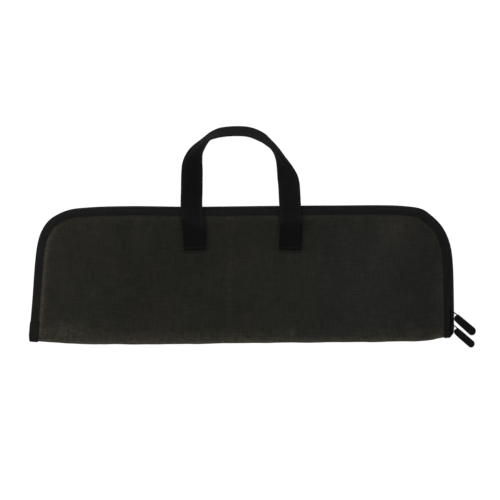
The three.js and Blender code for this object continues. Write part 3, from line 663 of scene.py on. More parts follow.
# How pale the canvas is painted, from 0 to 1: bands beside the bindings, the front panel's lower part and
# its foot, the fold, at least and at its middle, and the back. footRight and foldRight are added in the
# right half. The lower part, the foot and the fold are partly rub and partly painted light, paler where the
# sheet turns into the fold; the fold's middle is a painted highlight as well as rub.
rubAndPaintedLight = {
    "leftBand": 0.50, "leftWide": 0.16, "rightBand": 0.08, "topBand": 0.10, "lower": 0.06, "foot": 0.20,
    "footRight": -0.12, "fold": 0.28, "foldMiddle": 0.95, "foldRight": -0.12, "back": 0.08,
}
# The cooler tone grows between two x, and its border wanders; the greener one is a bell about an x
hues = {"cool": 0.8, "coolFrom": 10, "coolTo": 90, "coolWander": 26, "greenAt": -30, "greenHalf": 120}


# Where the front panel is painted paler: bells beside its binding, rubs at the spots, and steps down to the
# fold that are partly rub and partly painted light
def frontRubAndLight(x, y, distance, rowShare):
    atLeft = smoothstep(-x, 205, 232) * smoothstep(-y, -18, 6)
    rubAndLight = rubAndPaintedLight["leftBand"] * bell(distance, 7.6, 2.8) * atLeft
    rubAndLight += rubAndPaintedLight["leftWide"] * bell(distance, 9.0, 7.0) * smoothstep(-x, 195, 225)
    rubAndLight += rubAndPaintedLight["rightBand"] * bell(distance, 6.0, 2.0) * smoothstep(x, 185, 205)
    rubAndLight += rubAndPaintedLight["topBand"] * bell(distance, 6.5, 3.0) * (1 - 0.6 * smoothstep(x, 20, 120))
    for x0, y0, halfX, halfY, strength in rubbedSpots:
        rubAndLight += strength * bell(x, x0, halfX) * bell(y, y0, halfY)
    # painted light: the lower part and the foot are painted paler towards the fold, where the sheet turns
    # down, partly painted light and partly rub
    lower = rubAndPaintedLight["lower"] * smoothstep(rowShare, 0.84, 0.96) * (1 - 0.8 * smoothstep(x, -20, 90))
    foot = rubAndPaintedLight["foot"] + rubAndPaintedLight["footRight"] * smoothstep(x, -60, 80)
    return rubAndLight + lower + foot * smoothstep(rowShare, 0.955, 1.0)


# Plan points of a panel: the spans between its opposite sides are added, and the span between its
# corners taken away. Rows run from the bound edge down to the fold, columns from left to right.
def panelPlan(front, rowShares, columnShares):
    left = canvasEdge(shoulderLeft * (1 - rowShares), front)
    right = canvasEdge(shoulderRight + (lastOutline - shoulderRight) * rowShares, front)
    top = canvasEdge(shoulderLeft + (shoulderRight - shoulderLeft) * columnShares, front)
    s = travelled(top)[:, None] / travelled(top)[-1]
    v = (travelled(left) / travelled(left)[-1] + travelled(right) / travelled(right)[-1])[:, None, None] / 2
    footLeft, footRight = left[-1], right[-1]
    off = [p[1] - foldY(p[0]) - body["foldDepth"] for p in (footLeft, footRight)]
    x = footLeft[0] + (footRight[0] - footLeft[0]) * s
    bottom = np.hstack([x, foldY(x) + body["foldDepth"] + off[0] * (1 - s) + off[1] * s])
    spans = left[:, None] * (1 - s) + right[:, None] * s + top * (1 - v) + bottom * v
    upper, lower = top[0] * (1 - s) + top[-1] * s, footLeft * (1 - s) + footRight * s
    return spans - (upper * (1 - v) + lower * v)


# The fold between the last rows of the front and the back panel, and how pale it is painted, partly rub and
# partly a painted highlight that peaks along its crest. Height goes from front to back with the cosine of
# the turn, and the sheet swells down by its sine, both raised to a power under 1, which squares the fold a
# little.
def foldSheet(front, back):
    turn = np.linspace(0, math.pi, cover["foldRows"] + 2)[1:-1, None]
    lean = (np.sign(np.cos(turn)) * np.abs(np.cos(turn)) ** body["foldSquareness"])[..., None]
    fold = front * (1 + lean) / 2 + back * (1 - lean) / 2
    x, z = fold[..., 0], fold[..., 2]
    swell = 1 + body["foldSwell"] * smoothstep(x, -225, -190)
    ripple = 1 + cover["foldRipple"] * rumple(x, z * 4, 14, 50, 6, 21) * np.sin(turn)
    fold[..., 1] -= body["foldDepth"] * swell * np.sin(turn) ** body["foldSquareness"] * ripple
    # painted highlight along the fold's crest, with its rubs
    rubAndLight = rubAndPaintedLight["fold"] + rubAndPaintedLight["foldMiddle"] * np.sin(turn) ** 1.2
    return fold, rubAndLight + rubAndPaintedLight["foldRight"] * smoothstep(x, -60, 80)


# The cover's outer sheet from the front edge round the fold to the back edge, and its marks. The lower
# corners are moved by smooth steps along x and y.
def coverSheet():
    columns = np.linspace(0, 1, cover["columns"])
    frontRows, backRows = np.linspace(0, 1, cover["frontRows"]), np.linspace(0, 1, cover["backRows"])
    frontX, frontY = np.moveaxis(panelPlan(1, frontRows, columns), -1, 0)
    distance, place = distanceTo(frontEdgeLine, frontX, frontY)
    fade = 1 - smoothstep(np.broadcast_to(frontRows[:, None], frontX.shape), 0.97, 1.0)
    height = plainFront(frontX, frontY, distance) + frontRelief(frontX, frontY, distance, place) * fade
    front = np.dstack([frontX, frontY, height])
    backX, backY = np.moveaxis(panelPlan(0, backRows, columns), -1, 0)
    backDistance, _ = distanceTo(backEdgeLine, backX, backY)
    lift = rim["lift"] * (1 - smoothstep(backDistance, rim["flat"], rim["flat"] + rim["ease"]))
    back = np.dstack([backX, backY, lift])
    fold, foldRubAndHighlight = foldSheet(front[-1], back[-1])
    sheet = np.concatenate([front, fold, back[::-1]])
    x, y = sheet[..., 0], sheet[..., 1]
    atRight = smoothstep(x, 200, 214) * smoothstep(-y, 103, 110)
    atLeft = smoothstep(-x, 226, 238) * smoothstep(-y, 108, 116)
    x -= cover["rightIn"] * smoothstep(x, 206, 221) * smoothstep(-y, 105, 111) ** 1.5
    y += cover["rightUp"] * atRight + cover["leftUp"] * atLeft
    frontRubbedAndLit = frontRubAndLight(frontX, frontY, distance, frontRows[:, None])
    wearAndPaintedLight = np.concatenate([frontRubbedAndLit, foldRubAndHighlight, np.full(backX.shape, rubAndPaintedLight["back"])])
    border = x + hues["coolWander"] * rumple(x, y, 40, 120, 5, 31)
    cool = smoothstep(border, hues["coolFrom"], hues["coolTo"]) * (0.6 + 0.4 * smoothstep(-y, -25, 40))
    green = bell(x, hues["greenAt"], hues["greenHalf"])
    return sheet, {"wearAndPaintedLight": np.clip(wearAndPaintedLight, 0, 1), "cool": hues["cool"] * cool, "green": green}


# A sheet's outward normals: its slope down the rows crossed with its slope along the columns
def sheetNormals(sheet):
    return unit(np.cross(np.gradient(sheet, axis=0), np.gradient(sheet, axis=1)))


coverOuter, coverMarks = coverSheet()
coverInner = coverOuter - sheetNormals(coverOuter) * body["wall"]


# A closed wall between two sheets of points, with its rims. Its flat map runs across by x and down by
# the way along each column, added up from steps in y and z.
def wallShape(outer, inner):
    rows, columns = outer.shape[:2]
    steps = np.hypot(np.diff(outer[..., 1], axis=0), np.diff(outer[..., 2], axis=0))
    down = -outer[:1, :, 1] + np.vstack([np.zeros((1, columns)), np.cumsum(steps, axis=0)])
    sheetMap = gridMap(down, outer[..., 0])
    number = np.arange(rows * columns).reshape(rows, columns)
    left, right, top, foot = number[:, 0], number[:, -1], number[0], number[-1]
    sides = (left[1:], left[:-1]), (right[:-1], right[1:]), (top[:-1], top[1:]), (foot[1:], foot[:-1])
    rims = [np.stack([a, b, b + number.size, a + number.size], axis=1) for a, b in sides]
    outside, inside = gridQuads(rows, columns), gridQuads(rows, columns, rows * columns)[:, ::-1]
    points = np.vstack([outer.reshape(-1, 3), inner.reshape(-1, 3)])
    maps = [sheetMap, sheetMap[:, ::-1], *(np.zeros(f.shape + (2,)) for f in rims)]
    return shape(points, [outside, inside, *rims], maps)


# The outer face takes the marks as they are; the inner face has no wear and no painted light
coverMarks = {key: np.append(values, values * (key != "wearAndPaintedLight")) for key, values in coverMarks.items()}
coverPiece = addPiece("canvasCover", wallShape(coverOuter, coverInner), canvas, "case", ["canvas_cover"],
                      marks=coverMarks)
print("canvas cover made")

# Bindings: the tape's reach over the panel, its thickness, play and changes along its way, its stitches
binding = {
    "reach": 4.6, "thick": 1.0, "clear": 0.08, "stations": 620, "endGap": 0.12, "backExtra": 0.45,
    "wander": 0.16, "puff": 0.05, "widerLeft": 1.2, "widerRight": 0.5, "seamDip": 0.16,
    "stitchInset": 1.5, "stitchLong": 2.4, "stitchPitch": 3.3, "threadRadius": 0.24,
}
# How much paler the tape is painted at the left, over the right half and at the right end, by wear and by
# painted light that falls from the left; and on the back, a painted light that lifts the back binding out of
# its shade
bindingWearAndLight = {"left": 0.14, "rightHalf": -0.08, "rightEnd": -0.10, "back": 1.6}
# Corner tabs: topLeft, where the left one starts on both panels, is an outline row number
tab = {
    "thick": 0.8, "clear": 0.1, "reach": {"left": 7.2, "right": 4.6}, "extra": {"left": 1.2, "right": 0.5},
    "wearAndPaintedLight": {"left": 0.12, "right": -0.1}, "topLeft": 0.36, "stations": 90, "stitchInset": 1.4,
    "endInset": 1.5, "swell": 0.08, "endDip": 0.12,
}
stitches = []  # each row's line and its directions out of the cloth


# Stations on the canvas edge: the middle of the wall, with directions into the panel and out of its face
def edgeStations(at, front):
    p = canvasEdge(at, front)
    middle = rim["lift"] + body["wall"] / 2
    origin = np.column_stack([p, thicknessAt(p[:, 1]) - middle if front else np.full(len(p), middle)])
    along = unit(np.gradient(origin, axis=0))
    up = np.tile([0.0, 0.0, 1.0 if front else -1.0], (len(at), 1))
    across = unit(np.cross(along, up)) * (1 if front else -1)
    return origin, across, up, along


# Row numbers along the outline at even distances
def evenRows(low, high, count):
    fine = np.linspace(low, high, 2000)
    line, _, _, _ = outlineAt(fine)
    at = travelled(line)
    return np.interp(np.linspace(0, at[-1], count), at, fine)


# A tape folded over an edge, as a closed section: a half round back, then two leaves that swell by a half
# sine, dip where they are stitched and end in a rounded tip
def foldedTapeSection(halfWall, thick, reach, extra):
    outer, inner = halfWall + thick, halfWall
    seat, back = 0.2 - gap, -gap - thick - extra
    turn = np.linspace(-math.pi / 2, -3 * math.pi / 2, 17)
    nose = np.column_stack([seat - (seat - back) * np.abs(np.cos(turn)), outer * np.sin(turn)])
    leaf = np.column_stack([np.linspace(0.4, reach - 0.5, 9), np.full(9, outer)])
    leaf[:, 1] += 0.10 * np.sin(np.linspace(0, math.pi, 9))
    leaf[:, 1] -= binding["seamDip"] * bell(leaf[:, 0], reach - binding["stitchInset"], 0.5)
    tip = [[reach - 0.1, outer - 0.18], [reach, outer - 0.5], [reach - 0.05, inner + 0.15]]
    under = [[reach - 0.3, inner], [reach - 2.0, inner], [0.6, inner], [-gap + 0.1, inner * 0.6]]
    half = np.vstack([leaf, tip, under])
    return np.vstack([nose, half, (half * [1, -1])[::-1]])


# A binding round three sides. Its leaves grow wider towards the ends, and slow noise changes their width
# and the thickness of its back a little.
def addBinding(front):
    side = "Front" if front else "Back"
    at = evenRows(tab["topLeft"], lastOutline, binding["stations"])
    origin, across, up, along = edgeStations(at, front)
    for end, sign in ((0, 1), (-1, -1)):
        origin[end] += along[end] * sign * binding["endGap"]
    section = foldedTapeSection(body["wall"] / 2 + binding["clear"], binding["thick"], binding["reach"],
                                0 if front else binding["backExtra"])
    s, x = travelled(origin), origin[:, 0]
    wander = binding["wander"] * rumple(s, s * 0, 25, 90, 6, 41 + front)
    puff = 1 + binding["puff"] * rumple(s, s * 0, 8, 30, 6, 43 + front)
    sections = np.repeat(section[None], len(s), axis=0)
    leaf = np.clip(sections[..., 0] / binding["reach"], 0, 1)
    wider = binding["widerRight"] * smoothstep(x, 150, 215)
    wider += binding["widerLeft"] * smoothstep(-x, 205, 232) * front
    sections[..., 0] += (wander + wider)[:, None] * leaf
    sections[..., 1] *= puff[:, None] * (1 - leaf) + leaf
    # painted light: paler at the left and darker to the right as if lit from the left, with wear, and the
    # back binding lifted out of its shade
    wearAndPaintedLight = bindingWearAndLight["left"] * smoothstep(-x, 150, 235) + bindingWearAndLight["rightHalf"] * smoothstep(x, -60, 60)
    wearAndPaintedLight += bindingWearAndLight["rightEnd"] * smoothstep(x, 150, 215) + (0 if front else bindingWearAndLight["back"])
    addPiece(f"binding{side}", sweep(origin, across, up, sections, s), bindingTape, "case",
                            [f"binding_{side.lower()}"],
                            marks={"wearAndPaintedLight": np.repeat(wearAndPaintedLight, len(section))})
    rise = body["wall"] / 2 + binding["clear"] + binding["thick"] - binding["seamDip"]
    stitches.append((origin + across * (binding["reach"] - binding["stitchInset"]) + up * rise, up))


# A row of stitches: short rods that dip at both ends, at an even pitch along a line on the cloth. A rod's
# height follows a half sine, and its radius shrinks towards the ends with the square of the place.
def stitchRow(line, up, pitch, long, radius):
    points, sides = 7, 6  # along a rod and round it
    at = travelled(line)
    count = int(at[-1] // pitch)
    middle = (np.arange(count) + 0.5) * at[-1] / count
    t = np.linspace(-1, 1, points)
    places = middle[:, None] + t * long / 2
    centre, normal = readAt(places, at, line), unit(readAt(places, at, up))
    centre = centre + normal * (np.cos(t * math.pi / 2) * radius * 0.9 - radius * 0.35)[None, :, None]
    tangent = unit(np.gradient(centre, axis=1))
    side = unit(np.cross(tangent, normal))
    turn = np.arange(sides)[:, None] * 2 * math.pi / sides
    ring = side[:, :, None] * np.cos(turn) + np.cross(side, tangent)[:, :, None] * np.sin(turn)
    size = radius * np.sqrt(np.maximum(1 - 0.85 * t**2, 0.05))
    grid = centre[:, :, None] + ring * size[None, :, None, None]
    quads = gridQuads(points, sides, wrap=True)
    ends = np.array([np.arange(sides), points * sides - 1 - np.arange(sides)])
    starts = np.arange(count)[:, None, None] * points * sides
    faces = [(quads + starts).reshape(-1, 4), (ends + starts).reshape(-1, sides)]
    return shape(grid.reshape(-1, 3), faces)


for front in (1, 0):
    addBinding(front)
print("bindings made")


# A corner tab's closed section: it ends level with the wall, turns over the sheet's side edge by a quarter
# ellipse, lies on the sheet with a leaf that swells by a half sine, and comes back under itself
def tabSection(inner, outer, back, reach):
    turn = np.linspace(math.pi, math.pi / 2, 9)
    shoulder = np.column_stack([0.2 + (0.2 - back) * np.cos(turn), outer - 0.9 + 0.9 * np.sin(turn)])
    leaf = np.column_stack([np.linspace(0.8, reach - 0.4, 9), np.full(9, outer)])
    leaf[:, 1] += tab["swell"] * np.sin(np.linspace(0, math.pi, 9))
    tip = [[reach - 0.05, outer - 0.2], [reach, inner + 0.3], [reach - 0.2, inner]]
    under = [[reach - 2.0, inner], [0.5, inner], [-gap, inner - 0.3], [-gap, 0.0], [-gap, -body["wall"] / 2]]
    return np.vstack([[[back, -body["wall"] / 2], [back, 0.0]], shoulder, leaf, tip, under])


# Stations at even distances along the cover's side edge, round the end of its fold: the middle of the
# wall, with directions into the case and out of the sheet. On the left they start at topLeft on both
# panels, on the right they take in the fold alone.
def tabStations(left):
    column, inward = (0, 1) if left else (-1, -1)
    edge, nextEdge = coverOuter[:, column], coverOuter[:, column + inward * 5]
    normal = sheetNormals(coverOuter)[:, column]
    top = outlineAt(np.array([tab["topLeft"]]))[0][0, 1]
    nearTop = lambda rows: int(np.abs(rows[:, 1] - top).argmin())
    first = nearTop(edge[: cover["frontRows"]]) if left else cover["frontRows"] - 1
    after = nearTop(edge[::-1][: cover["backRows"]]) if left else cover["backRows"] - 1
    keep = slice(first, len(edge) - after)
    origin = (edge - normal * body["wall"] / 2)[keep]
    up, across = normal[keep], unit(nextEdge - edge)[keep]
    across = unit(across - (across * up).sum(1, keepdims=True) * up)
    at = travelled(origin)
    even = np.linspace(0, at[-1], tab["stations"])
    return readAt(even, at, origin), unit(readAt(even, at, across)), unit(readAt(even, at, up))


# A corner tab: a wide tape folded round the end of the case's fold, from front to back. Its ends lie a
# little lower, by a dip that dies away along it as e to the minus distance. It is stitched along its
# leaves' edge, and the left one across its ends too.
def addTab(side):
    left = side == "left"
    origin, across, up = tabStations(left)
    s = travelled(origin)
    inner, reach = body["wall"] / 2 + tab["clear"], tab["reach"][side]
    outer = inner + tab["thick"]
    section = tabSection(inner, outer, -gap - tab["thick"] - tab["extra"][side], reach)
    sections = np.repeat(section[None], len(s), axis=0)
    endDip = tab["endDip"] * (np.exp(-s / 1.2) + np.exp(-(s[-1] - s) / 1.2))
    sections[..., 1] -= endDip[:, None] * (sections[..., 1] > inner)
    wearAndPaintedLight = np.full(sections.shape[:2], tab["wearAndPaintedLight"][side])
    addPiece(f"cornerTab{side.capitalize()}", sweep(origin, across, up, sections, s),
                            bindingTape, "case", [f"corner_tab_{side}"],
                            marks={"wearAndPaintedLight": wearAndPaintedLight})
    line = origin + across * (reach - tab["stitchInset"]) + up * outer
    stitches.append((line[3:-3], up[3:-3]))
    if left:
        row = np.linspace(0.6, reach - 1.6, 12)[:, None]
        inset = int(round(tab["endInset"] / (s[1] - s[0])))
        for k in (inset, len(s) - 1 - inset):
            stitches.append((origin[k] + across[k] * row + up[k] * outer, np.tile(up[k], (12, 1))))


for side in ("left", "right"):
    addTab(side)
print("corner tabs made")

# Zip: the coil's wire and turns, the tape, and where the tape's stitches go beside the coil
zipper = {
    "coilTall": 6.0, "behindEdge": 0.3, "tail": 3.0, "pitch": 1.5, "wire": 0.36, "halfDeep": 0.74,
    "halfTall": 1.50, "centre": 1.22, "coilBack": -0.2, "perTurn": 10, "sides": 5, "tape": 0.4, "hem": 6.0,
    "tapeStations": 420, "seam": 1.9, "seamStep": 6,
}
# The middle line of a tape's section: its place in from the zip, its height over the zip's middle, and a
# 1 where the height is counted down from the hem instead
tapeMiddle = [
    (1.2, 0.35, 0), (1.2, 1.6, 0), (1.15, 2.9, 0), (0.55, 3.5, 0), (0.05, 4.2, 0), (0.0, 5.4, 0),
    (0.0, 0.9, 1), (0.35, 0.25, 1), (1.2, 0.0, 1), (3.4, 0.0, 1), (zipper["hem"], 0.0, 1),
]


# Stations on the zip's middle line, at even distances, as far as the tails beyond the outline's ends
def zipLine(count):
    at = evenRows(0, lastOutline, 1200)
    p, setback, along, inward = outlineAt(at)
    flat = p + inward * (setback - zipper["behindEdge"])[:, None]
    flat = np.vstack([flat[0] - along[0] * zipper["tail"], flat, flat[-1] + along[-1] * zipper["tail"]])
    inward = np.vstack([inward[:1], inward, inward[-1:]])
    line = np.column_stack([flat, thicknessAt(np.clip(flat[:, 1], p[:, 1].min(), None)) / 2])
    s = travelled(line)
    places = np.linspace(0, s[-1], count)
    into = unit(np.column_stack([readAt(places, s, inward), places * 0]))
    return readAt(places, s, line), into, np.tile([0.0, 0.0, 1.0], (count, 1)), places


# Two coils that mesh: each is a helix squashed to an ellipse, one above and one below the middle, half a
# turn apart, with the turns of one between the turns of the other
def addZipChain():
    _, _, _, places = zipLine(2)
    turns = int(places[-1] / zipper["pitch"])
    origin, into, up, s = zipLine(turns * zipper["perTurn"])
    coils = []
    for sign in (1, -1):
        angle = s / zipper["pitch"] * 2 * math.pi + (0 if sign > 0 else math.pi)
        deep = zipper["coilBack"] + zipper["halfDeep"] * np.sin(angle)
        tall = sign * (zipper["centre"] + zipper["halfTall"] * np.cos(angle))
        line = origin + into * deep[:, None] + up * tall[:, None]
        radial = into * np.sin(angle)[:, None] + up * (sign * np.cos(angle))[:, None]
        coils.append(wireShape(line, zipper["wire"], zipper["sides"], radial))
    addPiece("zipChain", coils, nylonCoil, "case", ["zip_chain"])
    origin, into, up = (rows[:: zipper["seamStep"]] for rows in (origin, into, up))
    behind = zipper["coilBack"] - zipper["halfDeep"] - zipper["wire"]
    for sign in (1, -1):
        stitches.append((origin + into * behind + up * sign * zipper["seam"], -into))


# One zip tape: behind the coil, past it to the bound edge, and its hem flat under that edge. Its section
# is its middle line moved by half its thickness both ways.
def addZipTape(front):
    side = "Front" if front else "Back"
    origin, into, up, s = zipLine(zipper["tapeStations"])
    hem = origin[:, 2] - (rim["lift"] + body["wall"] + tapeThick + 2 * gap)
    half = zipper["tape"] / 2
    x, z, fromHem = np.array(tapeMiddle).T
    height = np.where(fromHem > 0, hem[:, None] - z, z) - half * fromHem
    line = np.dstack([np.broadcast_to(x, height.shape), height])
    slope = unit(np.gradient(line, axis=1))
    normal = np.stack([slope[..., 1], -slope[..., 0]], axis=2)
    ring = np.concatenate([line + normal * half, (line - normal * half)[:, ::-1]], axis=1)
    ring[..., 1] *= 1 if front else -1
    addPiece(f"zipTape{side}", sweep(origin, into, up, ring, s), zipCloth, "case",
                            [f"zip_tape_{side.lower()}"], sharp=60)


addZipChain()
for front in (1, 0):
    addZipTape(front)
print("zip made")

# Sliders: x goes out of the case, y along it and z up. Side, nose and heel shape the plates' corners, as
# shares of their half sizes, and lip says where the lips start and end, as shares of the length.
slider = {
    "long": 11.0, "tall": 8.4, "plate": 1.2, "channel": 3.2, "firstY": -86.0, "pitch": 14.4, "slot": 0.75,
    "side": 0.7, "nose": 0.45, "heel": 0.8, "lip": (-0.2, 0.37), "bevel": 0.32,
}
bail = {"wide": 1.3, "thick": 0.6, "clear": 0.15, "low": 2.4, "high": 3.7, "drop": 0.65}
post = {"from": 2.5, "to": 5.0, "tall": 2.4}
pull = {"slope": 20.4, "aim": -39.2, "wire": 1.4, "thick": 3.0}  # slope and aim in degrees
# Each pull lies a little differently: where the wire's two arms leave the hinge line, how far the grip
# runs, and the grip's half width and its middle's place across, near the slider and at its tip
pullLie = {
    "Upper": {"arms": (3.2, -4.2), "long": 33.8, "near": (4.1, 0.0), "far": (4.8, 0.05)},
    "Lower": {"arms": (3.2, -4.2), "long": 32.3, "near": (3.85, -0.35), "far": (4.2, -0.25)},
}
sliderThick = slider["channel"] + 2 * slider["plate"]
hingeOut = sliderThick / 2 + gap + 0.5


# The zip's middle point where its straight right side passes a y
def chainMiddleAt(y):
    at = np.linspace(shoulderRight + 3, lastOutline, 400)
    p, setback, _, inward = outlineAt(at)
    flat = p + inward * (setback - zipper["behindEdge"])[:, None]
    return np.array([np.interp(-y, -flat[:, 1], flat[:, 0]), y, thicknessAt(y) / 2])


# A slider: two shield-shaped plates, the post between them and lips that turn in to the tape
def addSlider(place, y):
    middle = chainMiddleAt(y)
    halfY, halfZ = slider["long"] / 2, slider["tall"] / 2
    lower = [(-halfY, -halfZ * slider["side"]), (-halfY * slider["nose"], -halfZ),
             (halfY * slider["heel"], -halfZ), (halfY, -halfZ * slider["side"])]
    outline = roundedCorners(lower + [(along, -across) for along, across in lower[::-1]], 1.3, 5, True)
    upright = lambda p: np.column_stack([p[:, 2], p[:, 0], p[:, 1]]) + middle
    near, far = slider["channel"] / 2, sliderThick / 2
    shapes = [slabShape(outline, near, far, upright), slabShape(outline, -far, -near, upright)]
    foot, head = [-near - 0.5, post["from"], -post["tall"] / 2], [near + 0.5, post["to"], post["tall"] / 2]
    shapes.append(boxShape(middle + foot, middle + head))
    for sx in (-1, 1):
        for sz in (-1, 1):
            x = sorted((sx * slider["slot"], sx * (near + 0.6)))
            z = sorted((sz * (zipper["coilTall"] / 2 + 0.45), sz * halfZ * 0.98))
            foot, head = ([x[k], slider["long"] * slider["lip"][k], z[k]] for k in (0, 1))
            shapes.append(boxShape(middle + foot, middle + head))
    piece = addPiece(f"slider{place}", shapes, blackMetal, "case", [f"zip_slider_{place.lower()}"])
    bevel = piece.modifiers.new("edges", "BEVEL")
    bevel.width, bevel.segments = slider["bevel"] * mm, 3
    bevel.limit_method, bevel.angle_limit = "ANGLE", math.radians(40)


# A slider's bail: a flat wire that leaves the outer plate, goes along it and comes back to it
def addBail(place, y):
    start = sliderThick / 2 - 0.5
    high, low = bail["high"] - bail["drop"], -bail["low"] - bail["drop"]
    out = hingeOut + pull["wire"] / 2 + bail["clear"] + bail["thick"] / 2
    path = np.array([[start, 0, high], [out, 0, high], [out, 0, low], [start, 0, low]])
    path = evenly(roundedCorners(path, 1.2, 8, False), 40)
    wide, thick = bail["wide"] / 2, bail["thick"] / 2
    flat = roundedCorners([(-wide, -thick), (wide, -thick), (wide, thick), (-wide, thick)], 0.25, 4, True)
    across = np.tile([0.0, 1.0, 0.0], (len(path), 1))
    over = unit(np.cross(across, unit(np.gradient(path, axis=0))))
    addPiece(f"bail{place}", sweep(path + chainMiddleAt(y), across, over, flat), blackMetal, "case", [],
             sharp=50)


aim = math.radians(pull["aim"])


# A flat point from its place along the pull's middle line and its distance above that line: both turned
# by the aim, with its cosine and its sine
def onPull(along, across):
    return (math.cos(aim) * along - math.sin(aim) * across, math.sin(aim) * along + math.cos(aim) * across)


# Flat pull coordinates turned down about the hinge line and carried to it: out is x cos + z sin of the
# slope, and up is z cos - x sin
def hang(points, y):
    middle = chainMiddleAt(y) + [hingeOut, 0, -bail["drop"]]
    slope = math.radians(pull["slope"])
    x, across, z = points.T
    out, rise = x * math.cos(slope) + z * math.sin(slope), z * math.cos(slope) - x * math.sin(slope)
    return np.column_stack([out, across, rise]) + middle


# The wire: its bar on the hinge line, then both sides bent in to the grip, as one bent round wire
def addPullWire(place, y):
    high, low = pullLie[place]["arms"]
    corners = np.array([
        onPull(10.0, 1.2), (5.4, high - 3.9), (0.0, high), (0.0, low), (2.2, low - 0.6), onPull(10.0, -1.6),
    ])
    flat = evenly(roundedCorners(corners, [0, 0.9, 0.8, 0.9, 0.9, 0], 7, False), 110)
    line = hang(np.column_stack([flat, np.zeros(len(flat))]), y)
    up = hang(np.array([[0.0, 0, 1], [0, 0, 0]]), y)
    reference = np.tile(up[0] - up[1], (len(line), 1))
    addPiece(f"pullWire{place}", wireShape(line, pull["wire"] / 2, 12, reference), blackMetal,
             f"pull_{place.lower()}", [f"pull_wire_{place.lower()}"])


# The grip: rings shrink from its outline to its middle line, and the height over a ring is a
# superellipse, flat in the middle and round at the rim: half the thickness times 1 less the ring's share
# to the 5th, to the power 1 / 2.2
def addPullGrip(place, y):
    lie = pullLie[place]
    (halfNear, nearMiddle), (halfFar, farMiddle) = lie["near"], lie["far"]
    top, foot = nearMiddle + halfNear, nearMiddle - halfNear
    corners = [onPull(12.0, top + 0.3), onPull(4.5, top), onPull(2.7, -0.6), (1.6, -6.6),
               onPull(7.0, foot - 0.05), onPull(12.0, foot - 0.3)]
    near = roundedCorners(corners, [0, 0.9, 1.6, 1.2, 1.2, 0], 6, False)
    turn = np.linspace(-math.pi / 2, math.pi / 2, 24)
    middle = lie["long"] - halfFar
    far = np.array([onPull(middle + halfFar * math.cos(t), farMiddle + halfFar * math.sin(t)) for t in turn])
    outline = evenly(np.vstack([near, far]), 150, True)
    start, end = np.array(onPull(6.5, nearMiddle)), np.array(onPull(middle, farMiddle))
    t = np.clip(((outline - start) @ (end - start)) / ((end - start) ** 2).sum(), 0, 1)
    spine = start + (end - start) * t[:, None]
    rings = np.sin(np.linspace(0.25, math.pi / 2, 15))
    heights = pull["thick"] / 2 * (1 - rings**5) ** (1 / 2.2)
    upper = [np.column_stack([spine + (outline - spine) * ring, np.full(len(outline), height)])
             for ring, height in zip(rings, heights)]
    grid = np.array([*upper, *(layer * [1, 1, -1] for layer in upper[-2::-1])])
    world = hang(grid.reshape(-1, 3), y).reshape(grid.shape)
    around = travelled(np.vstack([outline, outline[:1]]))
    addPiece(f"pullGrip{place}", tubeShape(world, np.linspace(0, 12, len(grid)), around), rubber,
             f"pull_{place.lower()}", [f"pull_grip_{place.lower()}"])


for place, y in (("Upper", slider["firstY"]), ("Lower", slider["firstY"] - slider["pitch"])):
    addSlider(place, y)
    addBail(place, y)
    addPullWire(place, y)
    addPullGrip(place, y)
print("sliders and pulls made")


# The handle's middle line: x, y, z or None where it lies on the panel, and its twist in degrees
handleRows = [
    (-63.6, -13.2, None, 0), (-64.0, 1.0, None, 0), (-65.0, 12.5, None, 0), (-66.3, 19.0, 25.0, 0),
    (-66.9, 34.0, 25.0, 0), (-66.7, 52.0, 25.2, 0), (-66.6, 70.7, 24.4, 8), (-66.0, 81.7, 23.0, 26),
    (-63.1, 91.8, 20.6, 48), (-57.8, 99.8, 18.0, 63), (-50.6, 107.0, 15.4, 74), (-43.2, 111.4, 13.8, 69),
    (-34.8, 114.3, 13.0, 65), (-18.3, 115.7, 12.6, 64), (-2.9, 114.4, 12.8, 64), (9.2, 109.4, 13.6, 65),
    (17.4, 103.2, 14.8, 71), (25.1, 95.7, 16.6, 73), (31.5, 84.8, 19.2, 63), (36.4, 71.8, 22.0, 37),
    (39.3, 59.7, 24.0, 10), (40.4, 45.4, 25.2, 0), (41.1, 34.0, 25.0, 0), (41.8, 19.0, 25.0, 0),
    (41.7, 14.0, None, 0), (41.5, 1.0, None, 0), (40.9, -13.2, None, 0),
]
# Lines where the handle is bent or folded: from x, y to x, y, the height of the ridge along the line and
# its half width in mm, how much lighter the ridge is, a painted highlight, and how much lighter the cloth is
# to the line's left, painted light where it is over 0 and painted shade where it is under 0
handleBends = [
    (-76.6, 78.4, -55.7, 100.4, 0.50, 1.0, 0.25, 0.35),
    (20.6, 97.9, 37.2, 76.8, -0.35, 1.2, -0.30, -0.25),
    (18.8, 95.6, 34.8, 75.6, 0.20, 1.4, 0.25, 0.0),
    (-79.5, 20.0, -60.0, 9.0, 0.35, 0.9, 0.15, 0.26),
    (28.0, 17.1, 56.0, 17.1, 0.30, 0.9, 0.12, 0.20),
    # The last two are painted highlight lines along the webbing's turned-under ends
    (-76.5, -12.6, -51.0, -12.6, 0.20, 0.7, 0.75, 0.0),
    (28.5, -12.6, 54.5, -12.6, 0.20, 0.7, 0.60, 0.0),
]
# How much paler the webbing is painted: at its edges; at the arch's top, a painted highlight where the twist
# turns it to the light; where it is sewn, darker by denser cloth and by painted shade; and on its two legs,
# painted shade on the left and painted light on the right
handlePaintedLight = {"edge": 0.62, "top": 0.44, "sewn": -0.34, "leftLeg": -0.30, "rightLeg": 0.26}


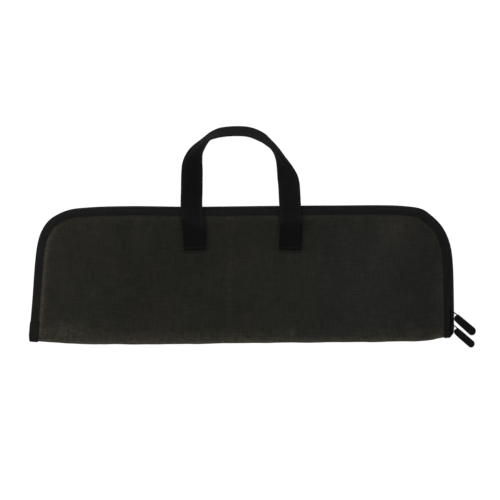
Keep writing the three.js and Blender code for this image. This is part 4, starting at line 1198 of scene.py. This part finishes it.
# Stations on the handle's middle line, with directions along it, across it and out of its face. Where a
# row has no height, the webbing lies on the panel. It is turned about its line by the twist.
def handlePath():
    x, y, z, twist = np.array(handleRows, dtype=float).T
    onPanel = plainFront(x, y, distanceTo(frontEdgeLine, x, y)[0]) + handle["clear"] + handle["doubled"]
    z = np.where(np.isnan(z), onPanel - handle["thick"] / 2, z)
    at = np.linspace(0, len(x) - 1, 2400)
    line = curveThrough(np.column_stack([x, y, z]), at)
    twist = curveThrough(twist[:, None], at, even=True)[:, 0]
    s = travelled(line)
    places = np.linspace(0, s[-1], handle["stations"])
    line = readAt(places, s, line)
    twist = np.radians(np.interp(places, s, twist))[:, None]
    along = unit(np.gradient(line, axis=0))
    inward = unit(np.column_stack([along[:, 1], -along[:, 0], along[:, 0] * 0]))
    facing = unit(np.cross(inward, along))
    across = inward * np.cos(twist) + facing * np.sin(twist)
    return line, along, across, unit(np.cross(across, along))


# The end turned under beyond a station: round a small half circle, then back beneath the webbing
def turnedUnder(start, out, lift):
    drop = (handle["doubled"] - handle["thick"]) / 2
    turn = np.linspace(0, math.pi, 10)[1:, None]
    back = np.linspace(0.5, handle["turnedUnder"], 40)[:, None]
    bend = start + out * drop * np.sin(turn) - lift * drop * (1 - np.cos(turn))
    under = start - lift * 2 * drop - out * back
    turnedUp = lift * np.cos(turn) + out * np.sin(turn)
    return np.vstack([bend, under]), np.vstack([turnedUp, np.tile(-lift, (len(back), 1))])


# The handle's stations with both turned-under ends
def handleFrames():
    line, along, across, up = handlePath()
    foot, footUp = turnedUnder(line[0], -along[0], up[0])
    head, headUp = turnedUnder(line[-1], along[-1], up[-1])
    across = np.vstack([np.tile(across[0], (len(foot), 1)), across, np.tile(across[-1], (len(head), 1))])
    return np.vstack([foot[::-1], line, head]), across, np.vstack([footUp[::-1], up, headUp])


# The webbing's section: flat faces between selvedges that are half ellipses
def webbingSection():
    wide, thick, selvedge = handle["wide"] / 2, handle["thick"] / 2, handle["selvedge"]
    top = np.column_stack([np.linspace(-1, 1, 15) * (wide - selvedge), np.full(15, thick - 0.08)])
    turn = np.linspace(math.pi / 2, -math.pi / 2, 7)[1:-1]
    edge = np.column_stack([wide - selvedge + selvedge * np.cos(turn), thick * np.sin(turn)])
    return np.vstack([top, edge, (top * [1, -1])[::-1], (edge * [-1, 1])[::-1]])


# The handle: the webbing's section at every station. Its ribs lift its faces and scallop its edges by half
# waves, half a rib apart on the two sides, and it wanders a little sideways. Each bend is a ridge, a bell
# across its line, with a painted highlight along it and painted light and shade beside it.
def addHandle():
    line, across, up = handleFrames()
    s, wide = travelled(line), handle["wide"] / 2
    sections = np.repeat(webbingSection()[None], len(s), axis=0)
    side, over = sections[..., 0], sections[..., 1]
    atEdge = smoothstep(np.abs(side), wide - 2.2, wide - 0.6)
    ribs = math.pi * s[:, None] / handle["scallopPitch"]
    lobes = np.where(side > 0, np.abs(np.sin(ribs)), np.abs(np.cos(ribs)))
    side += np.sign(side) * handle["scallop"] * (lobes - 0.6) * atEdge
    side += handle["wander"] * rumple(s, s * 0, 30, 90, 6, 51)[:, None]
    over += handle["rib"] * (np.abs(np.sin(ribs)) - 0.5) * np.sign(over)
    x, y, _ = np.moveaxis(line[:, None] + across[:, None] * side[..., None], -1, 0)
    slant = np.where(x < 0, -0.5 * (x - sewnEnds[0][0]), 0.0)
    sewn = 1 - smoothstep(y - slant, 10, 17)
    # painted light and shade on the webbing: paler edges, a painted highlight on the arch's top, painted
    # shade on the sewn ends and the left leg, painted light on the right leg
    paintedPale = handlePaintedLight["edge"] * smoothstep(np.abs(side), 6.0, wide)
    paintedPale = paintedPale + handlePaintedLight["top"] * smoothstep(y, 98, 108)
    wearAndPaintedLight = paintedPale * (1 - sewn) + handlePaintedLight["sewn"] * sewn
    onLegs = smoothstep(y, 22, 62) * (1 - smoothstep(y, 80, 96)) * (up[:, 2:] > 0)
    wearAndPaintedLight += onLegs * np.where(x < 0, handlePaintedLight["leftLeg"], handlePaintedLight["rightLeg"])
    upper = (over > 0) & (up[:, 2:] > 0)
    # each bend paints a highlight along its ridge, and beside it painted light where paintedBeside is over 0
    # and painted shade where it is under 0
    for x0, y0, x1, y1, tall, half, light, paintedBeside in handleBends:
        t, off = besideLine(x, y, x0, y0, x1, y1)
        on = smoothstep(t, -0.25, 0.0) * (1 - smoothstep(t, 1.0, 1.25)) * upper
        ridge = bell(off, 0, half) * on
        over += tall * ridge
        wearAndPaintedLight += light * ridge + paintedBeside * smoothstep(off, -0.6, 0.6) * bell(np.maximum(off, 0), 0, 9) * on
    strap = addPiece("handleStrap", sweep(line, across, up, sections, s), webbing, "case", ["handle_strap"],
                     marks={"wearAndPaintedLight": wearAndPaintedLight})
    return line, across, up


handleLine, handleAcross, handleUp = addHandle()


# The box of stitches on each sewn end of the handle: two rows along it and two across
def sewHandle():
    skip, most = 50, 90  # stations that are turned under at an end, and those after them that may be sewn
    top, reach = handle["thick"] / 2, handle["wide"] / 2 - handle["stitchInset"]
    for low in (skip, len(handleLine) - skip - most):
        y = handleLine[low:low + most, 1]
        rows = low + np.flatnonzero((y > handle["footY"] + 0.7) & (y < handle["stitchTop"]))
        line, across, up = handleLine[rows], handleAcross[rows], handleUp[rows]
        for offset in (-reach, reach):
            stitches.append((line + across * offset + up * top, up))
        for k in (0, -1):
            row = np.linspace(-reach, reach, 20)[:, None]
            stitches.append((line[k] + across[k] * row + up[k] * top, np.tile(up[k], (20, 1))))


sewHandle()
stitchShapes = [
    stitchRow(line, up, binding["stitchPitch"], binding["stitchLong"], binding["threadRadius"])
    for line, up in stitches
]
addPiece("stitching", stitchShapes, thread, "case", [])
print("handle and stitches made")

# Floor, light and camera: the camera sees a field as wide as view at the height plane. Lengths are in
# metres, but the lens and its sensor in mm; floor, seenFloor, white and world are brightnesses.
studio = {
    "floor": 0.8, "seenFloor": 0.12, "white": 0.98, "floorSize": 30.0, "floorZ": -0.0002, "world": 0.30,
    "lens": 400.0, "sensor": 36.0, "view": 0.55, "plane": 0.012, "viewX": -0.0027, "viewY": -0.0143,
    "aim": (0.0, 0.0, 0.01),
}
# Softboxes: where they stand, their width and height in metres, and their power in watts
softboxes = {
    "softboxLeft": ((-1.7, 0.2, 1.5), (1.6, 1.6), 24),
    "softboxRight": ((1.7, 0.3, 1.4), (1.6, 1.6), 9),
    "softboxBack": ((0.0, 1.8, 1.4), (2.2, 1.4), 18),
    "softboxFront": ((0.0, -1.8, 1.3), (2.2, 1.4), 12),
}


# The floor is plain white to the camera and a pale matt surface to the light
def addFloor():
    material, tree, shader = newMaterial("paleFloor", Roughness=0.9, Specular_IOR_Level=0.1)
    seen = addNode(tree, "ShaderNodeLightPath").outputs["Is Camera Ray"]
    tone = mixColours(tree, seen, grey(studio["floor"]), grey(studio["seenFloor"]))
    tree.links.new(tone, shader.inputs["Base Color"])
    tree.links.new(mixColours(tree, seen, grey(0.0), grey(1.0)), shader.inputs["Emission Color"])
    shader.inputs["Emission Strength"].default_value = studio["white"]
    half = studio["floorSize"] / 2
    mesh = bpy.data.meshes.new("floor")
    corners = [(x * half, y * half, studio["floorZ"]) for x, y in ((-1, -1), (1, -1), (1, 1), (-1, 1))]
    mesh.from_pydata(corners, [], [(0, 1, 2, 3)])
    mesh.materials.append(material)
    floor = bpy.data.objects.new("floor", mesh)
    bpy.context.scene.collection.objects.link(floor)


# A rectangular area light that looks at the case
def addSoftbox(name, place, size, power):
    light = bpy.data.lights.new(name, "AREA")
    light.shape, light.size, light.size_y, light.energy = "RECTANGLE", size[0], size[1], power
    lamp = bpy.data.objects.new(name, light)
    lamp.location = place
    lamp.rotation_mode = "QUATERNION"
    lamp.rotation_quaternion = Vector(np.subtract(studio["aim"], place)).to_track_quat("-Z", "Y")
    bpy.context.scene.collection.objects.link(lamp)


addFloor()
for name, box in softboxes.items():
    addSoftbox(name, *box)

world = bpy.data.worlds.new("studio")
bpy.context.scene.world = world
world.use_nodes = True
background = world.node_tree.nodes["Background"]
background.inputs["Color"].default_value = (1, 1, 1, 1)
background.inputs["Strength"].default_value = studio["world"]

camera = bpy.data.cameras.new("camera")
camera.lens, camera.sensor_width = studio["lens"], studio["sensor"]
camera.clip_start, camera.clip_end = 0.1, 60.0
cameraObject = bpy.data.objects.new("camera", camera)
cameraHeight = studio["plane"] + studio["view"] * studio["lens"] / studio["sensor"]
cameraObject.location = (studio["viewX"], studio["viewY"], cameraHeight)
bpy.context.scene.collection.objects.link(cameraObject)
bpy.context.scene.camera = cameraObject
bpy.context.scene.view_settings.view_transform = "Standard"
print("studio made")
